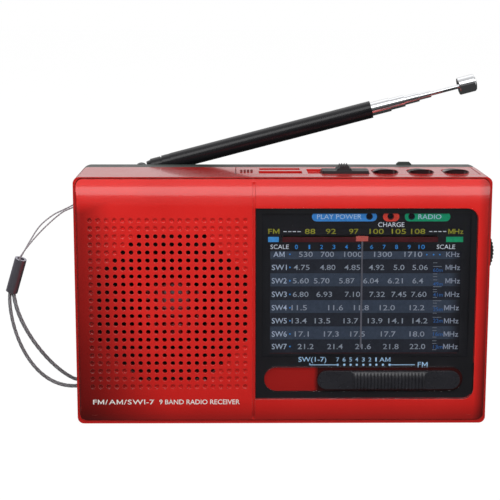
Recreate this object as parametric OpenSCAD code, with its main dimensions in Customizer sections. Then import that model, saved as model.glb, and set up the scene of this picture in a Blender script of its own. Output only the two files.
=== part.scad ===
// Pocket shortwave receiver: three-shell cabinet, dial window with cord-driven pointer,
// nine-position band slider, key row, loudspeaker, slide-in battery and telescopic aerial.
// X runs along the front, Y runs from the front to the back, Z is up.
// The origin is the centre of the cabinet's footprint, on the table.

/* [Cabinet] */
// Width of the cabinet
body_w = 138; // [137.6:0.1:138.4]
// Height of the cabinet
body_h = 84; // [83.8:0.1:84.2]
// Radius of the four long outer corners
corner_r = 2.2; // [1.9:0.1:2.4]
// Wall thickness of the middle frame and the rear shell
wall = 1.8; // [1.7:0.05:1.85]
// Wall thickness of the front panel
front_wall = 1.6; // [1.5:0.05:1.65]
// Radius of the roll along the top and bottom of the front panel
roll_r = 12.58; // [12.5:0.02:12.66]

/* [Grille] */
// Pitch of the grille perforation
grille_pitch = 2.676; // [2.66:0.002:2.69]
// Diameter of each grille hole
grille_hole_d = 1.5; // [1.2:0.1:1.7]
// Depth of the blind dimples around the open holes
dimple_depth = 0.8; // [0.5:0.1:0.9]

/* [Dial] */
// Thickness of the clear dial window
lens_t = 1; // [0.9:0.05:1]
// Depth of the groove beside the dial window
divider_depth = 0.6; // [0.4:0.1:0.7]
// Radius of the cord groove on the tuning wheel
spindle_r = 6; // [6:0.01:6.02]
// Outside radius of the tuning thumbwheel
tuning_wheel_r = 12; // [11.6:0.1:12.1]
// Outside radius of the volume thumbwheel
volume_wheel_r = 9.9; // [9.6:0.1:10]

/* [Controls] */
// Width of one push button
button_w = 8.5; // [8.2:0.1:8.6]
// Height of the ridged grip on the function switch above its plate
switch_grip_h = 1.9; // [1.4:0.1:2.2]
// Number of rib spaces on the band slider, one fewer than its ribs
slider_ribs = 20; // [14:1:22]
// Height of the band slider's grip above its flat ends
slider_grip_h = 1; // [0.6:0.1:1.2]

/* [Aerial] */
// Outside diameter of the black base tube
tube_d = 6.1; // [5.9:0.1:6.1]
// Distance from the tilt pin to the open end of the base tube
tube_end = 84.1; // [83:0.1:84.5]
// Angle of the aerial above the horizontal as drawn
aerial_tilt = 14.7; // [14:0.1:16]
// Length of section 2 outside the base tube
ext_2 = 6.8; // [4:0.1:9]
// Length of section 3 outside section 2
ext_3 = 5.2; // [4:0.1:9]
// Length of section 4 outside section 3
ext_4 = 5.2; // [4:0.1:9]
// Length of section 5 outside section 4
ext_5 = 4.4; // [4:0.1:9]
// Length of the tip rod between section 5 and the cap
ext_6 = 10; // [9:0.1:14]

/* [Strap] */
// Radius of the thin loop cord
thin_cord_r = 0.35; // [0.3:0.05:0.4]
// Radius of the woven wrist cord
thick_cord_r = 0.9; // [0.7:0.05:1]

/* [Hidden] */
$fn = 48;

// ---- functions ----
// range of a given half-width about a centre
function about(centre, half) = [centre - half, centre + half];
// every pairing of two lists of coordinates
function grid(xs, zs) = [for (x = xs) for (z = zs) [x, z]];
function polar(centre, r, angle) = centre + r * [cos(angle), sin(angle)];

// depths, before the shift that centres the cabinet
face_y = -19.5;    // front face
rim_y = -15.5;     // front edge of the middle frame
seam_y = 11.5;     // middle frame meets rear shell
ledge_y = 19.5;    // front wall of the aerial channel
rear_y = 25.5;     // back face
depth_shift = -(face_y + rear_y) / 2;

// cabinet outlines
half_w = body_w / 2;
front_inset = 1.15;           // the front panel stands this far inside the frame at each side
front_half_w = half_w - front_inset;
front_z = [1.45, body_h - 0.6];
front_side_r = 1.6;           // rounding of the front panel's upright edges
rear_half_w = half_w + 0.8;   // the rear shell stands proud of the frame
rear_edge_r = 3;
inner_x = about(0, half_w - wall);
inner_z = [wall, body_h - wall];
channel_z = 76.5;             // floor of the aerial channel
roll_y = face_y + roll_r;
roll_centres_z = [9.86, body_h - 9.55];

// dial window and the slot in it for the band slider
lens_x = [-9.1, 64.05];
lens_z = [9.5, 74.15];
lens_r = 3.7;
lens_back = face_y + lens_t;
slot_x = [-6, 60.3];
slot_z = about(16.4, 4.1);

// places as [x, z]
speaker_at = [-36.5, 40.78];
wheel_at = [59.7, 57.3];
volume_at = [60.2, 28];
strap_pin_at = [-67.2, 73.6];
front_screws = grid([-63, 63], [6, 78]);
rear_screws = grid([-64, 64], [7.5, 69]);
board_screws = [[-12.4, 9], [-12.4, 66], [54, 6.8]];
speaker_screws = [for (angle = [45:90:315]) polar(speaker_at, 28.4, angle)];
led_x = [28.3, 35.25, 42.15];
led_z = 71.45;

// places as [x, y]
key_screws = [[12, 8.6], [53, 8.6]];
key_x = [35, 47, 58.9];
key_y = -0.5;

// small self-tapping screws
inner_shank_r = 0.8;
inner_bore_r = 0.85;

// ferrite rod axis as [y, z]
ferrite_at = [6, 76.4];

// dial cord and the grooves it runs in
cord_r = 0.25;
cord_lift = 0.3;             // cord centre above the groove floor
drum_r = 13.08;              // groove floor of the drum
drum_cord_r = drum_r + cord_lift;
wheel_cord_r = spindle_r + cord_lift;
drum_at = [26, wheel_at[1] - wheel_cord_r - drum_cord_r];
groove_y = [-12.8, -11.6];
cord_y = (groove_y[0] + groove_y[1]) / 2;
cord_top_z = 68.2;
cord_bottom_z = wheel_at[1] - wheel_cord_r;
bend_r = 1.5;
bend_x = [1.5, 64.5];
bend_z = [cord_bottom_z + bend_r, cord_top_z - bend_r];

// battery door opening
door_x = 4;
door_y = 24.1;
door_z = [13, 53];
track_z = [12, 54];

// main board faces
board_front = 1;
board_back = 2.6;

// tilt axis of the aerial
pivot = [-49, 22.7, 81.8];
pivot_xy = [pivot[0], pivot[1]];
pivot_xz = [pivot[0], pivot[2]];

red = [0.78, 0.13, 0.12];
dark_grey = [0.26, 0.28, 0.27];
black = [0.07, 0.07, 0.08];
chrome = [0.8, 0.8, 0.82];
board_green = [0.1, 0.35, 0.18];
steel = [0.62, 0.62, 0.64];
switch_grey = [0.75, 0.75, 0.72];
silver = [0.75, 0.76, 0.78];
wire_red = [0.75, 0.1, 0.1];
wire_black = [0.1, 0.1, 0.1];
wire_white = [0.9, 0.9, 0.85];

// ---- helpers ----
// everything is drawn before the shift that centres the depth
module centred() { translate([0, depth_shift, 0]) children(); }
// box between three coordinate ranges
module box(x, y, z) {
    translate([x[0], y[0], z[0]]) cube([x[1] - x[0], y[1] - y[0], z[1] - z[0]]);
}
// extrusions: along Y of an [x, z] outline, along X of [y, z], along Z of [x, y]
module extrude_y(y0, y1) { translate([0, y1, 0]) rotate([90, 0, 0]) linear_extrude(y1 - y0) children(); }
module extrude_x(x0, x1) { translate([x0, 0, 0]) rotate([90, 0, 90]) linear_extrude(x1 - x0) children(); }
module extrude_z(z0, z1) { translate([0, 0, z0]) linear_extrude(z1 - z0) children(); }
// cylinders along one axis; "at" holds the other two coordinates
module rod_y(at, r, y0, y1) {
    translate([at[0], y1, at[1]]) rotate([90, 0, 0]) cylinder(r = r, h = y1 - y0);
}
module rod_z(at, r, z0, z1) { translate([at[0], at[1], z0]) cylinder(r = r, h = z1 - z0); }
module rod_x(at, r, x0, x1) {
    translate([x0, at[0], at[1]]) rotate([0, 90, 0]) cylinder(r = r, h = x1 - x0);
}
module at_each(points) { for (p = points) translate(p) children(); }
// flat outlines between two ranges
module rect(x, z) { translate([x[0], z[0]]) square([x[1] - x[0], z[1] - z[0]]); }
module rounded_rect(x, z, r) {
    rect([x[0] + r, x[1] - r], z);
    rect(x, [z[0] + r, z[1] - r]);
    at_each(grid([x[0] + r, x[1] - r], [z[0] + r, z[1] - r])) circle(r);
}
// bar with round ends, long in X
module round_ended(x, z) {
    r = (z[1] - z[0]) / 2;
    for (end_x = [x[0] + r, x[1] - r]) translate([end_x, z[0] + r]) circle(r);
    rect([x[0] + r, x[1] - r], z);
}
// bar with round ends, long in the second coordinate, centred
module stadium(width, length) {
    half = (length - width) / 2;
    for (side = [-1, 1]) translate([0, side * half]) circle(width / 2);
    rect(about(0, width / 2), about(0, half));
}
module ring(outer_r, inner_r, inner_fn = 96) {
    difference() {
        circle(outer_r, $fn = 96);
        circle(inner_r, $fn = inner_fn);
    }
}
// round-section line through a list of points
module bead_chain(points, r) {
    for (i = [0:len(points) - 2]) hull() {
        translate(points[i]) sphere(r, $fn = 10);
        translate(points[i + 1]) sphere(r, $fn = 10);
    }
}

// ---- front panel ----
// side view of the front panel, moved inward by inset
module roll_profile(inset) {
    intersection() {
        union() {
            rect([face_y + inset, face_y + inset + 12], roll_centres_z);
            for (z = roll_centres_z) translate([roll_y, z]) circle(roll_r - inset, $fn = 96);
        }
        rect([face_y - 1, rim_y + 1], [0, body_h]);
    }
}
// plan view with rounded front corners
module front_plan() {
    flat_half_w = front_half_w - front_side_r;
    translate([-flat_half_w, face_y]) square([2 * flat_half_w, 5]);
    translate([-front_half_w, face_y + front_side_r]) square([2 * front_half_w, 5]);
    for (side = [-1, 1]) translate([side * flat_half_w, face_y + front_side_r]) circle(front_side_r);
}
module front_solid() {
    intersection() {
        union() {
            extrude_y(face_y - 0.5, rim_y - 0.35) rounded_rect(about(0, front_half_w), front_z, 2.2);
            // stepped-in back edge
            extrude_y(rim_y - 0.4, rim_y)
                rounded_rect(about(0, front_half_w - 0.35), [1.8, body_h - 1], 1.6);
        }
        extrude_x(-half_w, half_w) roll_profile(0);
        extrude_z(0, body_h) front_plan();
    }
}
module front_hollow() {
    intersection() {
        extrude_y(face_y + front_wall, rim_y + 1)
            rounded_rect(about(0, half_w - 2.5), [2.9, body_h - 2.4], 1);
        extrude_x(-half_w, half_w) roll_profile(front_wall);
    }
}
module grille_grid(open) {
    for (column = [0:19]) for (row = [0:21]) {
        dx = abs(column - 10);
        dz = abs(row - 11);
        // the open field is a stepped circle: nine rows of full width, then narrower rows
        inside = dz <= 4 ? dx <= 9 : dz <= 9 && dx <= (dz == 9 ? 4 : 13 - dz);
        if (inside == open)
            translate(speaker_at + grille_pitch * [column - 10, 11 - row])
                circle(d = grille_hole_d, $fn = 24);
    }
}
// window outline, square at the left and rounded at the right, smaller by gap all round
module lens_outline(gap) {
    rect([lens_x[0] + gap, lens_x[1] - lens_r], [lens_z[0] + gap, lens_z[1] - gap]);
    rect([lens_x[0] + gap, lens_x[1] - gap], [lens_z[0] + lens_r, lens_z[1] - lens_r]);
    for (z = [lens_z[0] + lens_r, lens_z[1] - lens_r])
        translate([lens_x[1] - lens_r, z]) circle(lens_r - gap);
}
module front_cabinet() centred() color(red) difference() {
    inside_y = face_y + front_wall - 0.1;
    union() {
        difference() {
            front_solid();
            front_hollow();
        }
        // stiffened floor under the band slider
        box([-9.9, half_w - 2.3], [inside_y, face_y + 2.9], [8.2, 23]);
        // screw posts
        extrude_y(inside_y, rim_y - 0.1) at_each(front_screws) circle(2.4);
        extrude_y(inside_y, -16.5) at_each(speaker_screws) circle(1.5);
        extrude_y(inside_y, board_front) at_each(board_screws) circle(1.7);
        // ring round the loudspeaker
        extrude_y(inside_y, -16.6) translate(speaker_at) ring(27.1, 26.05);
    }
    // seat of the dial window and the open area behind it
    extrude_y(face_y - 1, lens_back) lens_outline(0);
    box([-7.3, 62.3], [face_y, face_y + 2], [23.4, 72.6]);
    // divider groove that follows the roll
    extrude_x(lens_x[0] - 0.9, lens_x[0] + 0.02) difference() {
        translate([face_y - 2, 0]) square([5, body_h]);
        roll_profile(divider_depth);
    }
    // perforation and dimples
    extrude_y(face_y - 1, face_y + 3) grille_grid(true);
    extrude_y(face_y - 1, face_y + dimple_depth) grille_grid(false);
    // slider stem slot
    box([14.6, 40.4], [face_y, -16], [15.4, 17.4]);
    // screw bores
    extrude_y(-17.6, -10) at_each(front_screws) circle(inner_bore_r);
    extrude_y(-17.6, -15) at_each(speaker_screws) circle(inner_bore_r);
    extrude_y(-6, 2) at_each(board_screws) circle(inner_bore_r);
}

// ---- middle frame ----
plate_size = 9;      // corner plates that hold the front panel
plate_overlap = 0.3; // how far they run into the walls

module frame_solid() {
    extrude_y(rim_y, seam_y) difference() {
        rounded_rect(about(0, half_w), [0, body_h], corner_r);
        rounded_rect(inner_x, inner_z, 1);
    }
    extrude_y(rim_y, -13.9) at_each(grid(
        [inner_x[0] - plate_overlap, inner_x[1] + plate_overlap - plate_size],
        [inner_z[0] - plate_overlap, inner_z[1] + plate_overlap - plate_size]
    )) square(plate_size);
    // rear screw posts and the webs that tie them to the sides
    extrude_y(3.2, seam_y) {
        at_each(rear_screws) circle(3);
        at_each(grid([-67.6, 64], [6.5, 68])) square([3.6, 2]);
    }
    // strap pocket
    box([-67.6, -64.4], [0.6, 9.4], [68.8, 78.4]);
    // ferrite cradles
    for (x = [-56, -24]) box([x, x + 2], [1.5, 10.5], [71, 82.6]);
    // ledge that carries the jack board, and the lip behind it
    box([-67.6, -50], [8, 9.6], [10.2, 11.4]);
    box([-67.6, -50], [9.75, 11], [10.2, 13.4]);
}
module thumbwheel_slot(z, half) { box([66, 70], [-7.4, -0.6], about(z, half)); }
module middle_frame() centred() color(red) difference() {
    frame_solid();
    // parting groove round the front panel
    extrude_y(rim_y - 1, rim_y + 0.9) difference() {
        rounded_rect(about(0, front_half_w + 0.35), [1.1, body_h - 0.28], 2.5);
        rounded_rect(about(0, front_half_w), front_z, 2.2);
    }
    // opening for the control strip
    box([-15.6, 66.2], [-9.2, 10.8], [81, 90]);
    thumbwheel_slot(wheel_at[1], 10.2);
    thumbwheel_slot(volume_at[1], 7.6);
    // strap pocket and pin bore
    box([-70, -65.6], [2, 8], [70, 77.2]);
    rod_y(strap_pin_at, 0.62, 1, 9);
    // jack openings
    rod_x([4.5, 28], 3.1, -70, -66);
    box([-70, -66], [3.8, 8], [12.3, 20.2]);
    // front-panel screw holes and rear bores
    extrude_y(rim_y - 1, -13) at_each(front_screws) circle(1.1);
    extrude_y(4, seam_y + 1) at_each(rear_screws) circle(1.05);
    // ferrite bores
    rod_x(ferrite_at, 4.06, -60, -20);
}

// ---- top control strip ----
module top_panel() centred() color(red) difference() {
    union() {
        extrude_z(81.2, body_h) rect([-15.35, 65.8], [-8.95, 10.5]);
        // wider flange below
        extrude_z(80.6, 82.05) rect([-16.6, 66.6], [-10.2, 11.2]);
        // posts for the key board
        for (p = key_screws) rod_z(p, 1.8, 74, 80.8);
        // small grip marks beside the sockets
        for (i = [0:3]) for (j = [0:2]) rod_z([-13.6 + i * 1.15, -3.2 + j * 2.6], 0.4, 83.9, 84.25);
    }
    // USB and card openings
    extrude_z(80, 90) rect([-7.75, 6.85], [-6.4, 0.4]);
    extrude_z(80, 90) rect([-7.4, 6.4], [3.4, 8.2]);
    // function knob recess and stem slot
    extrude_z(83.1, 90) rect([8.7, 29.4], [-7.2, 6]);
    box([14.7, 22.6], [-4.1, -1.9], [80, 84]);
    for (x = key_x) extrude_z(80, 90) translate([x, key_y]) stadium(button_w + 0.4, 13.8);
    for (p = key_screws) rod_z(p, inner_bore_r, 73, 79);
}

// ---- rear shell and battery ----
// outline of the upright tab on the aerial rest, as [x, z]
rest_tab = [[41.1, 82], [41.1, 84.3], [41.9, 85], [45.6, 85], [46.4, 84.3], [46.4, 82]];

// side view, with the aerial channel cut from the upper back corner
module rear_profile() {
    difference() {
        union() {
            rect([seam_y, rear_y - rear_edge_r], [0, body_h]);
            rect([seam_y, rear_y], [rear_edge_r, body_h - rear_edge_r]);
            translate([rear_y - rear_edge_r, rear_edge_r]) circle(rear_edge_r);
        }
        translate([ledge_y, channel_z]) square([20, 20]);
    }
}
module rear_outer() {
    intersection() {
        extrude_y(seam_y, rear_y) rounded_rect(about(0, rear_half_w), [0, body_h], 3.6);
        extrude_x(-rear_half_w, rear_half_w) rear_profile();
        extrude_z(0, body_h) hull() {
            translate([-rear_half_w + 0.9, seam_y]) square([2 * rear_half_w - 1.8, 1]);
            translate([-rear_half_w, seam_y + 0.9]) square([2 * rear_half_w, 5]);
            for (side = [-1, 1])
                translate([side * (rear_half_w - rear_edge_r), rear_y - rear_edge_r])
                    circle(rear_edge_r);
        }
    }
}
module rear_hollow() {
    intersection() {
        extrude_y(seam_y - 1, rear_y - wall) rounded_rect(inner_x, inner_z, 1);
        extrude_x(inner_x[0], inner_x[1]) {
            rect([seam_y - 1, rear_y - wall], [wall, channel_z - wall]);
            rect([seam_y - 1, ledge_y - wall], inner_z);
        }
    }
}
module rear_cabinet() centred() color(dark_grey) difference() {
    union() {
        difference() {
            rear_outer();
            rear_hollow();
        }
        // screw tubes
        extrude_y(seam_y, rear_y - 1) at_each(rear_screws) circle(3.5);
        // battery compartment
        box([3.8, 63.2], [15.3, rear_y - 1.4], [12.4, 54.6]);
        box([62, half_w - 1], [22.3, rear_y - 1.4], [12, 54.6]);
        // aerial seat
        box([-52.6, -45.4], [17.5, rear_y - 0.2], [69, channel_z]);
        // rest for the folded aerial and its upright tab
        box([39, 46], [ledge_y - 0.5, rear_y - 1], [channel_z - 0.5, 77.8]);
        extrude_y(18.1, 19.3) polygon(rest_tab);
    }
    // battery opening and door track
    box([5, 62], [16.5, rear_y + 1], [14.5, 51.5]);
    box([door_x, 80], [door_y, rear_y + 1], door_z);
    box([door_x, 80], [door_y, 24.95], track_z);
    // stepped screw bores
    extrude_y(seam_y - 1, 16) at_each(rear_screws) circle(1.2);
    extrude_y(15, rear_y + 1) at_each(rear_screws) circle(2.3);
    // aerial spigot bore, with room for its screw below
    rod_z(pivot_xy, 1.55, 60, 80);
    rod_z(pivot_xy, 2.7, 60, 71);
    // vents low on the back
    for (i = [0:8]) box([-52 + i * 4.2, -50.2 + i * 4.2], [20, rear_y + 1], [22, 38]);
}
module battery_door() centred() color(dark_grey) union() {
    intersection() {
        rear_outer();
        box([door_x + 0.15, 80], [door_y + 0.05, rear_y + 1], [door_z[0] + 0.1, door_z[1] - 0.1]);
    }
    // tongue that runs in the track
    box([door_x + 0.15, 65.5], [door_y + 0.05, 24.85], [track_z[0] + 0.15, track_z[1] - 0.15]);
    // thumb ridges
    for (i = [0:5]) box([9 + i * 1.6, 9.8 + i * 1.6], [rear_y - 0.1, rear_y + 0.35], [27, 39]);
}
module battery_pack() centred() color([0.15, 0.25, 0.5])
    extrude_y(16.9, 22.6) rounded_rect([6.2, 59.2], [16, 50], 1.5);
module battery_contacts() centred() color([0.85, 0.7, 0.3]) for (z = [28, 33, 38]) {
    box([60.9, 61.9], [17, 21.5], about(z, 1));
    box([59.3, 61], [19, 19.6], about(z, 0.8));
}

// ---- dial ----
module dial_window() centred() color([0.1, 0.1, 0.12, 0.6])
    extrude_y(face_y, lens_back - 0.01) difference() {
        lens_outline(0.06);
        round_ended(slot_x, slot_z);
    }
module dial_plate() centred() color(black) difference() {
    union() {
        extrude_y(-17.85, -17.35) rect([-8.6, 63.6], [23.5, 73.6]);
        // cord posts moulded on the back
        for (p = [[bend_x[0], bend_z[1]], [bend_x[1], bend_z[1]], [bend_x[0], bend_z[0]]])
            rod_y(p, 1.15, -17.4, -10.9);
    }
    // pointer slot and LED holes
    extrude_y(-19, -17) rect([-0.1, 51.1], [62.9, 64.9]);
    extrude_y(-19, -17) for (x = led_x) translate([x, led_z]) circle(0.95);
}
module tuning_pointer() centred() color([0.95, 0.4, 0.32]) difference() {
    union() {
        // needle and its head
        box([25.88, 26.42], [-18.3, -18], [27.1, 64]);
        box([24.05, 28.05], [-18.3, -17.95], [63.05, 64.75]);
        // neck through the plate, rising to the cord block
        box([25, 27], [-18.1, -15.5], [63.2, 64.6]);
        box([25, 27], [-16.5, -15.5], [63.2, 69.2]);
        box([24.7, 27.5], [-15.6, -11.4], about(cord_top_z, 1));
    }
    rod_x([cord_y, cord_top_z], 0.32, 20, 30);
}
// part of the cord bent about an [x, z] centre
module cord_arc(centre, arc_r, start, sweep) {
    translate([centre[0], cord_y, centre[1]]) rotate([90, 0, 0]) rotate([0, 0, start])
        rotate_extrude(angle = sweep, $fn = 64) translate([arc_r, 0]) circle(cord_r, $fn = 16);
}
module dial_cord() centred() color([0.85, 0.8, 0.65]) {
    // clockwise from the upper run, as seen from the front
    rod_x([cord_y, cord_top_z], cord_r, bend_x[0], bend_x[1]);
    cord_arc([bend_x[1], bend_z[1]], bend_r, 0, 90);
    rod_z([wheel_at[0] + wheel_cord_r, cord_y], cord_r, wheel_at[1], bend_z[1]);
    cord_arc(wheel_at, wheel_cord_r, -90, 90);
    rod_x([cord_y, cord_bottom_z], cord_r, bend_x[0], wheel_at[0]);
    cord_arc(drum_at, drum_cord_r, 0, 360);
    cord_arc([bend_x[0], bend_z[0]], bend_r, 180, 90);
    rod_z([bend_x[0] - bend_r, cord_y], cord_r, bend_z[0], bend_z[1]);
    cord_arc([bend_x[0], bend_z[1]], bend_r, 90, 90);
}
// cord groove between two flanges
module spool(at, groove_r, flange_r, front_y, back_y) {
    rod_y(at, flange_r, front_y, groove_y[0] + 0.05);
    rod_y(at, groove_r, groove_y[0], groove_y[1]);
    rod_y(at, flange_r, groove_y[1] - 0.05, back_y);
}
module cord_drum() centred() color([0.9, 0.9, 0.86]) difference() {
    union() {
        spool(drum_at, drum_r, 13.9, -13.8, -10.6);
        rod_y(drum_at, 3, -10.7, 4.8);
    }
    for (angle = [0:60:300]) rod_y(polar(drum_at, 8, angle), 2.6, -15, -10);
}
// rim with scalloped notches
module knurled_disc(at, r, notches) {
    notch_r = 0.38;
    extrude_y(-7, -1) translate(at) difference() {
        circle(r, $fn = 96);
        for (i = [0:notches - 1]) rotate(i * 360 / notches)
            translate([r + notch_r * 0.4, 0]) circle(notch_r, $fn = 16);
    }
}
module tuning_wheel() centred() color(black) difference() {
    union() {
        knurled_disc(wheel_at, tuning_wheel_r, 60);
        spool(wheel_at, spindle_r, 6.7, -13.4, -6.9);
    }
    rod_y(wheel_at, 1.55, -20, 5);
    extrude_y(-2, 0) translate(wheel_at) ring(9.6, 3, 48);
}
module tuning_axle() centred() color(steel) {
    rod_y(wheel_at, 1.5, -13.5, 3.6);
    rod_y(wheel_at, 2.6, -14.6, -13.5);
}
module tuning_capacitor() centred() color([0.88, 0.9, 0.86]) difference() {
    union() {
        box(about(drum_at[0], 8), [board_back, 11.6], about(drum_at[1], 8));
        for (offset_xz = grid([-6, 6], [-6, 6])) rod_y(drum_at + offset_xz, 0.9, 11.5, 13);
    }
    rod_y(drum_at, 3.05, 0, 5);
}
module volume_wheel() centred() color(black) difference() {
    union() {
        knurled_disc(volume_at, volume_wheel_r, 48);
        rod_y(volume_at, 2, -1.1, 4.8);
    }
    rod_y(volume_at, 0.95, -20, 2);
    extrude_y(-8, -6) translate(volume_at) ring(7.8, 3, 48);
}
module volume_wheel_screw() centred() color(steel) difference() {
    union() {
        rod_y(volume_at, 2.2, -8.2, -7);
        rod_y(volume_at, 0.9, -7.1, 1.8);
    }
    box(about(volume_at[0], 1.8), [-9, -7.7], about(volume_at[1], 0.25));
}
module volume_control() centred() color([0.55, 0.5, 0.42]) difference() {
    rod_y(volume_at, 6.6, board_back, 7);
    rod_y(volume_at, 2.05, 0, 5);
}

// ---- band switch ----
slider_x = [11.75, 59.4];
slider_z = [13.1, 19.3];
slider_front = face_y - 0.35;
slider_back = lens_back - 0.05;
rib_x = [24.4, 47.2];          // first and last rib
rib_pitch = (rib_x[1] - rib_x[0]) / slider_ribs;

// raised grip with hollowed shoulders and a sloping upper edge, drop below the rib tops
module grip_form(drop) {
    front = slider_front;
    rise = slider_grip_h - drop;
    z0 = slider_z[0] + 0.05;
    z1 = slider_z[1] - 0.05;
    intersection() {
        extrude_z(z0, z1) polygon([
            [22.4, front + 0.2], [23.3, front - 0.1], [23.9, front - 0.4],
            [24.2, front - slider_grip_h], [47.4, front - slider_grip_h],
            [47.7, front - 0.4], [48.3, front - 0.1], [49.2, front + 0.2]
        ]);
        extrude_x(22, 50) polygon([
            [front + 0.2, z0], [front - rise + 0.35, z0], [front - rise, z0 + 0.4],
            [front - rise, z1 - 2.6], [front - rise * 0.75, z1 - 1.6],
            [front - rise * 0.35, z1 - 0.6], [front + 0.2, z1]
        ]);
    }
}
module band_slider() centred() color(black) {
    union() {
        extrude_y(slider_front, slider_back) round_ended(slider_x, slider_z);
        grip_form(0.5);
        // stem through the cabinet, and the switch lever it carries
        box([33.2, 39.2], [slider_back - 0.1, -9.4], [15.6, 17.2]);
    }
    for (i = [0:slider_ribs]) intersection() {
        grip_form(0);
        box(about(rib_x[0] + i * rib_pitch, rib_pitch * 0.28), [face_y - 3, lens_back], slider_z);
    }
}
module band_switch() centred() color(switch_grey) difference() {
    union() {
        box([6, 47.4], [-9.2, -2], [11, 22]);
        // two rows of pins
        for (i = [0:11]) for (z = [12.2, 20.8])
            box([9 + i * 3.2, 9.5 + i * 3.2], [-2.1, 1], about(z, 0.25));
    }
    // lever track, wide enough for nine positions
    box([15, 40], [-9.8, -8.4], [14.4, 18.4]);
}

// ---- function switch and keys ----
knob_x = [13.5, 29.1];
knob_top = 84.9;
// outline of the ridged grip: x, height as a fraction of switch_grip_h
knob_ridges = [
    [18.7, 0.45], [19.1, 0.35], [19.6, 1], [20, 0.7], [20.4, 1], [20.85, 0.7],
    [21.3, 1], [21.7, 0.7], [22.1, 1], [22.6, 0.35], [23, 0.45]
];
module function_knob() centred() color(black) {
    extrude_z(83.15, 83.6) rect(knob_x, [-7, 5.8]);
    extrude_z(83.5, knob_top) rounded_rect(knob_x, [-7, 0.6], 0.7);
    extrude_y(-6.4, 0.2) polygon(concat(
        [[18.1, knob_top - 0.1]],
        [for (p = knob_ridges) [p[0], knob_top + p[1] * switch_grip_h]],
        [[23.6, knob_top - 0.1]]
    ));
    // stem
    box([19.4, 22.2], [-3.9, -2.1], [77.8, 83.2]);
}
module function_switch() centred() color(switch_grey) difference() {
    box([10, 28], [-6, 0], [74, 80.2]);
    box([14.5, 22.8], [-4.2, -1.8], [77.4, 81]);
}
// key with a crowned top, a retaining flange and a plunger
module button_form(x) {
    intersection() {
        extrude_z(80.4, 87) translate([x, key_y]) stadium(button_w, 13.4);
        translate([x, -9, 73.62]) rotate([-95.5, 0, 0]) cylinder(r = 12, h = 20, $fn = 128);
    }
    extrude_z(79.9, 80.5) translate([x, key_y]) stadium(button_w + 1.6, 14.6);
    rod_z([x, key_y], 1.5, 78.7, 80);
}
module previous_button() centred() color(black) button_form(key_x[0]);
module play_button() centred() color(black) button_form(key_x[1]);
module next_button() centred() color(black) button_form(key_x[2]);
module tact_switches() centred() color([0.2, 0.2, 0.22]) for (x = key_x) {
    box(about(x, 3), about(key_y, 3), [74, 77.3]);
    rod_z([x, key_y], 1.7, 77.2, 78);
}
module key_board() centred() color(board_green) difference() {
    extrude_z(72.4, 74) rect([8.8, 66.2], [-8.5, 10.2]);
    for (p = key_screws) rod_z(p, 1.05, 70, 76);
}

// ---- boards ----
// integrated circuits: x range, z range, back face
circuits = [
    [[-6, 4], [24, 42], 4.4],
    [[40, 47], [14, 26], 4.2],
    [[-8, -1], [10, 17], 4]
];
// centres as [x, z]
coil_cans = [[10, 50], [19, 56], [28, 60], [38, 58], [42, 48]];
electrolytics = [[-8, 50], [-1, 54], [40, 34], [48, 38], [6, 12]];
led_colours = [[0.2, 0.5, 0.9], [0.9, 0.15, 0.1], [0.1, 0.7, 0.3]];

module main_board() centred() color(board_green) difference() {
    extrude_y(board_front, board_back) {
        rect([-14.2, 8.4], [5, 79.4]);
        rect([-14.2, 66.2], [5, 72]);
    }
    for (p = board_screws) rod_y(p, 1.05, 0, 4);
    // clearance for the drum, tuning and volume shafts
    rod_y(drum_at, 3.3, 0, 4);
    rod_y(wheel_at, 1.52, 0, 4);
    rod_y(volume_at, 2.3, 0, 4);
}
module board_components() centred() {
    color([0.12, 0.12, 0.13]) for (chip = circuits) box(chip[0], [board_back, chip[2]], chip[1]);
    color(silver) for (p = coil_cans) box(about(p[0], 3.5), [board_back, 10], about(p[1], 3.5));
    color([0.15, 0.2, 0.45]) for (p = electrolytics) rod_y(p, 3, board_back, 12);
}
module usb_socket() centred() color(steel) union() {
    difference() {
        box([-7.05, 6.15], [-5.85, -0.15], [66.4, 80.4]);
        box([-6.75, 5.85], [-5.55, -0.45], [67, 81]);
    }
    // tongue and legs
    box([-6, 5.1], [-2.6, -0.7], [66.8, 78.6]);
    for (x = [-5, 4.1]) for (z = [68, 76]) box([x, x + 0.8], [-0.2, 1], [z, z + 1.4]);
}
module card_socket() centred() color(steel) difference() {
    box([-7, 6], [board_back, 5.6], [64, 80.4]);
    box([-6.4, 5.4], [3.2, 5], [65, 81]);
}
module indicator_leds() centred() for (i = [0:2]) color(led_colours[i]) {
    rod_y([led_x[i], led_z], 0.9, -17.9, -15);
    rod_y([led_x[i], led_z], 1.2, -15.1, -13.5);
    // legs
    for (side = [-0.6, 0.6]) box(about(led_x[i] + side, 0.2), [-13.6, 1], about(led_z, 0.2));
}
module ferrite_rod() centred() color([0.2, 0.2, 0.21]) rod_x(ferrite_at, 4, -59, -19);
module ferrite_coil() centred() color([0.75, 0.4, 0.2]) difference() {
    rod_x(ferrite_at, 5.2, -48, -30);
    rod_x(ferrite_at, 4.05, -50, -28);
}
module jack_board() centred() color(board_green) box([-66.6, -51], [8, 9.6], [11.5, 34]);
module earphone_jack() centred() color([0.1, 0.1, 0.11]) difference() {
    union() {
        box([-67, -54.5], [1.2, 7.95], [24.7, 31.3]);
        rod_x([4.5, 28], 3, -69, -66.9);
    }
    rod_x([4.5, 28], 1.8, -70, -56);
}
module charging_jack() centred() color(steel) difference() {
    box([-68.4, -60], [3.95, 7.95], [12.45, 20.05]);
    box([-69, -61], [4.35, 7.55], [12.85, 19.65]);
}

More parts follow.
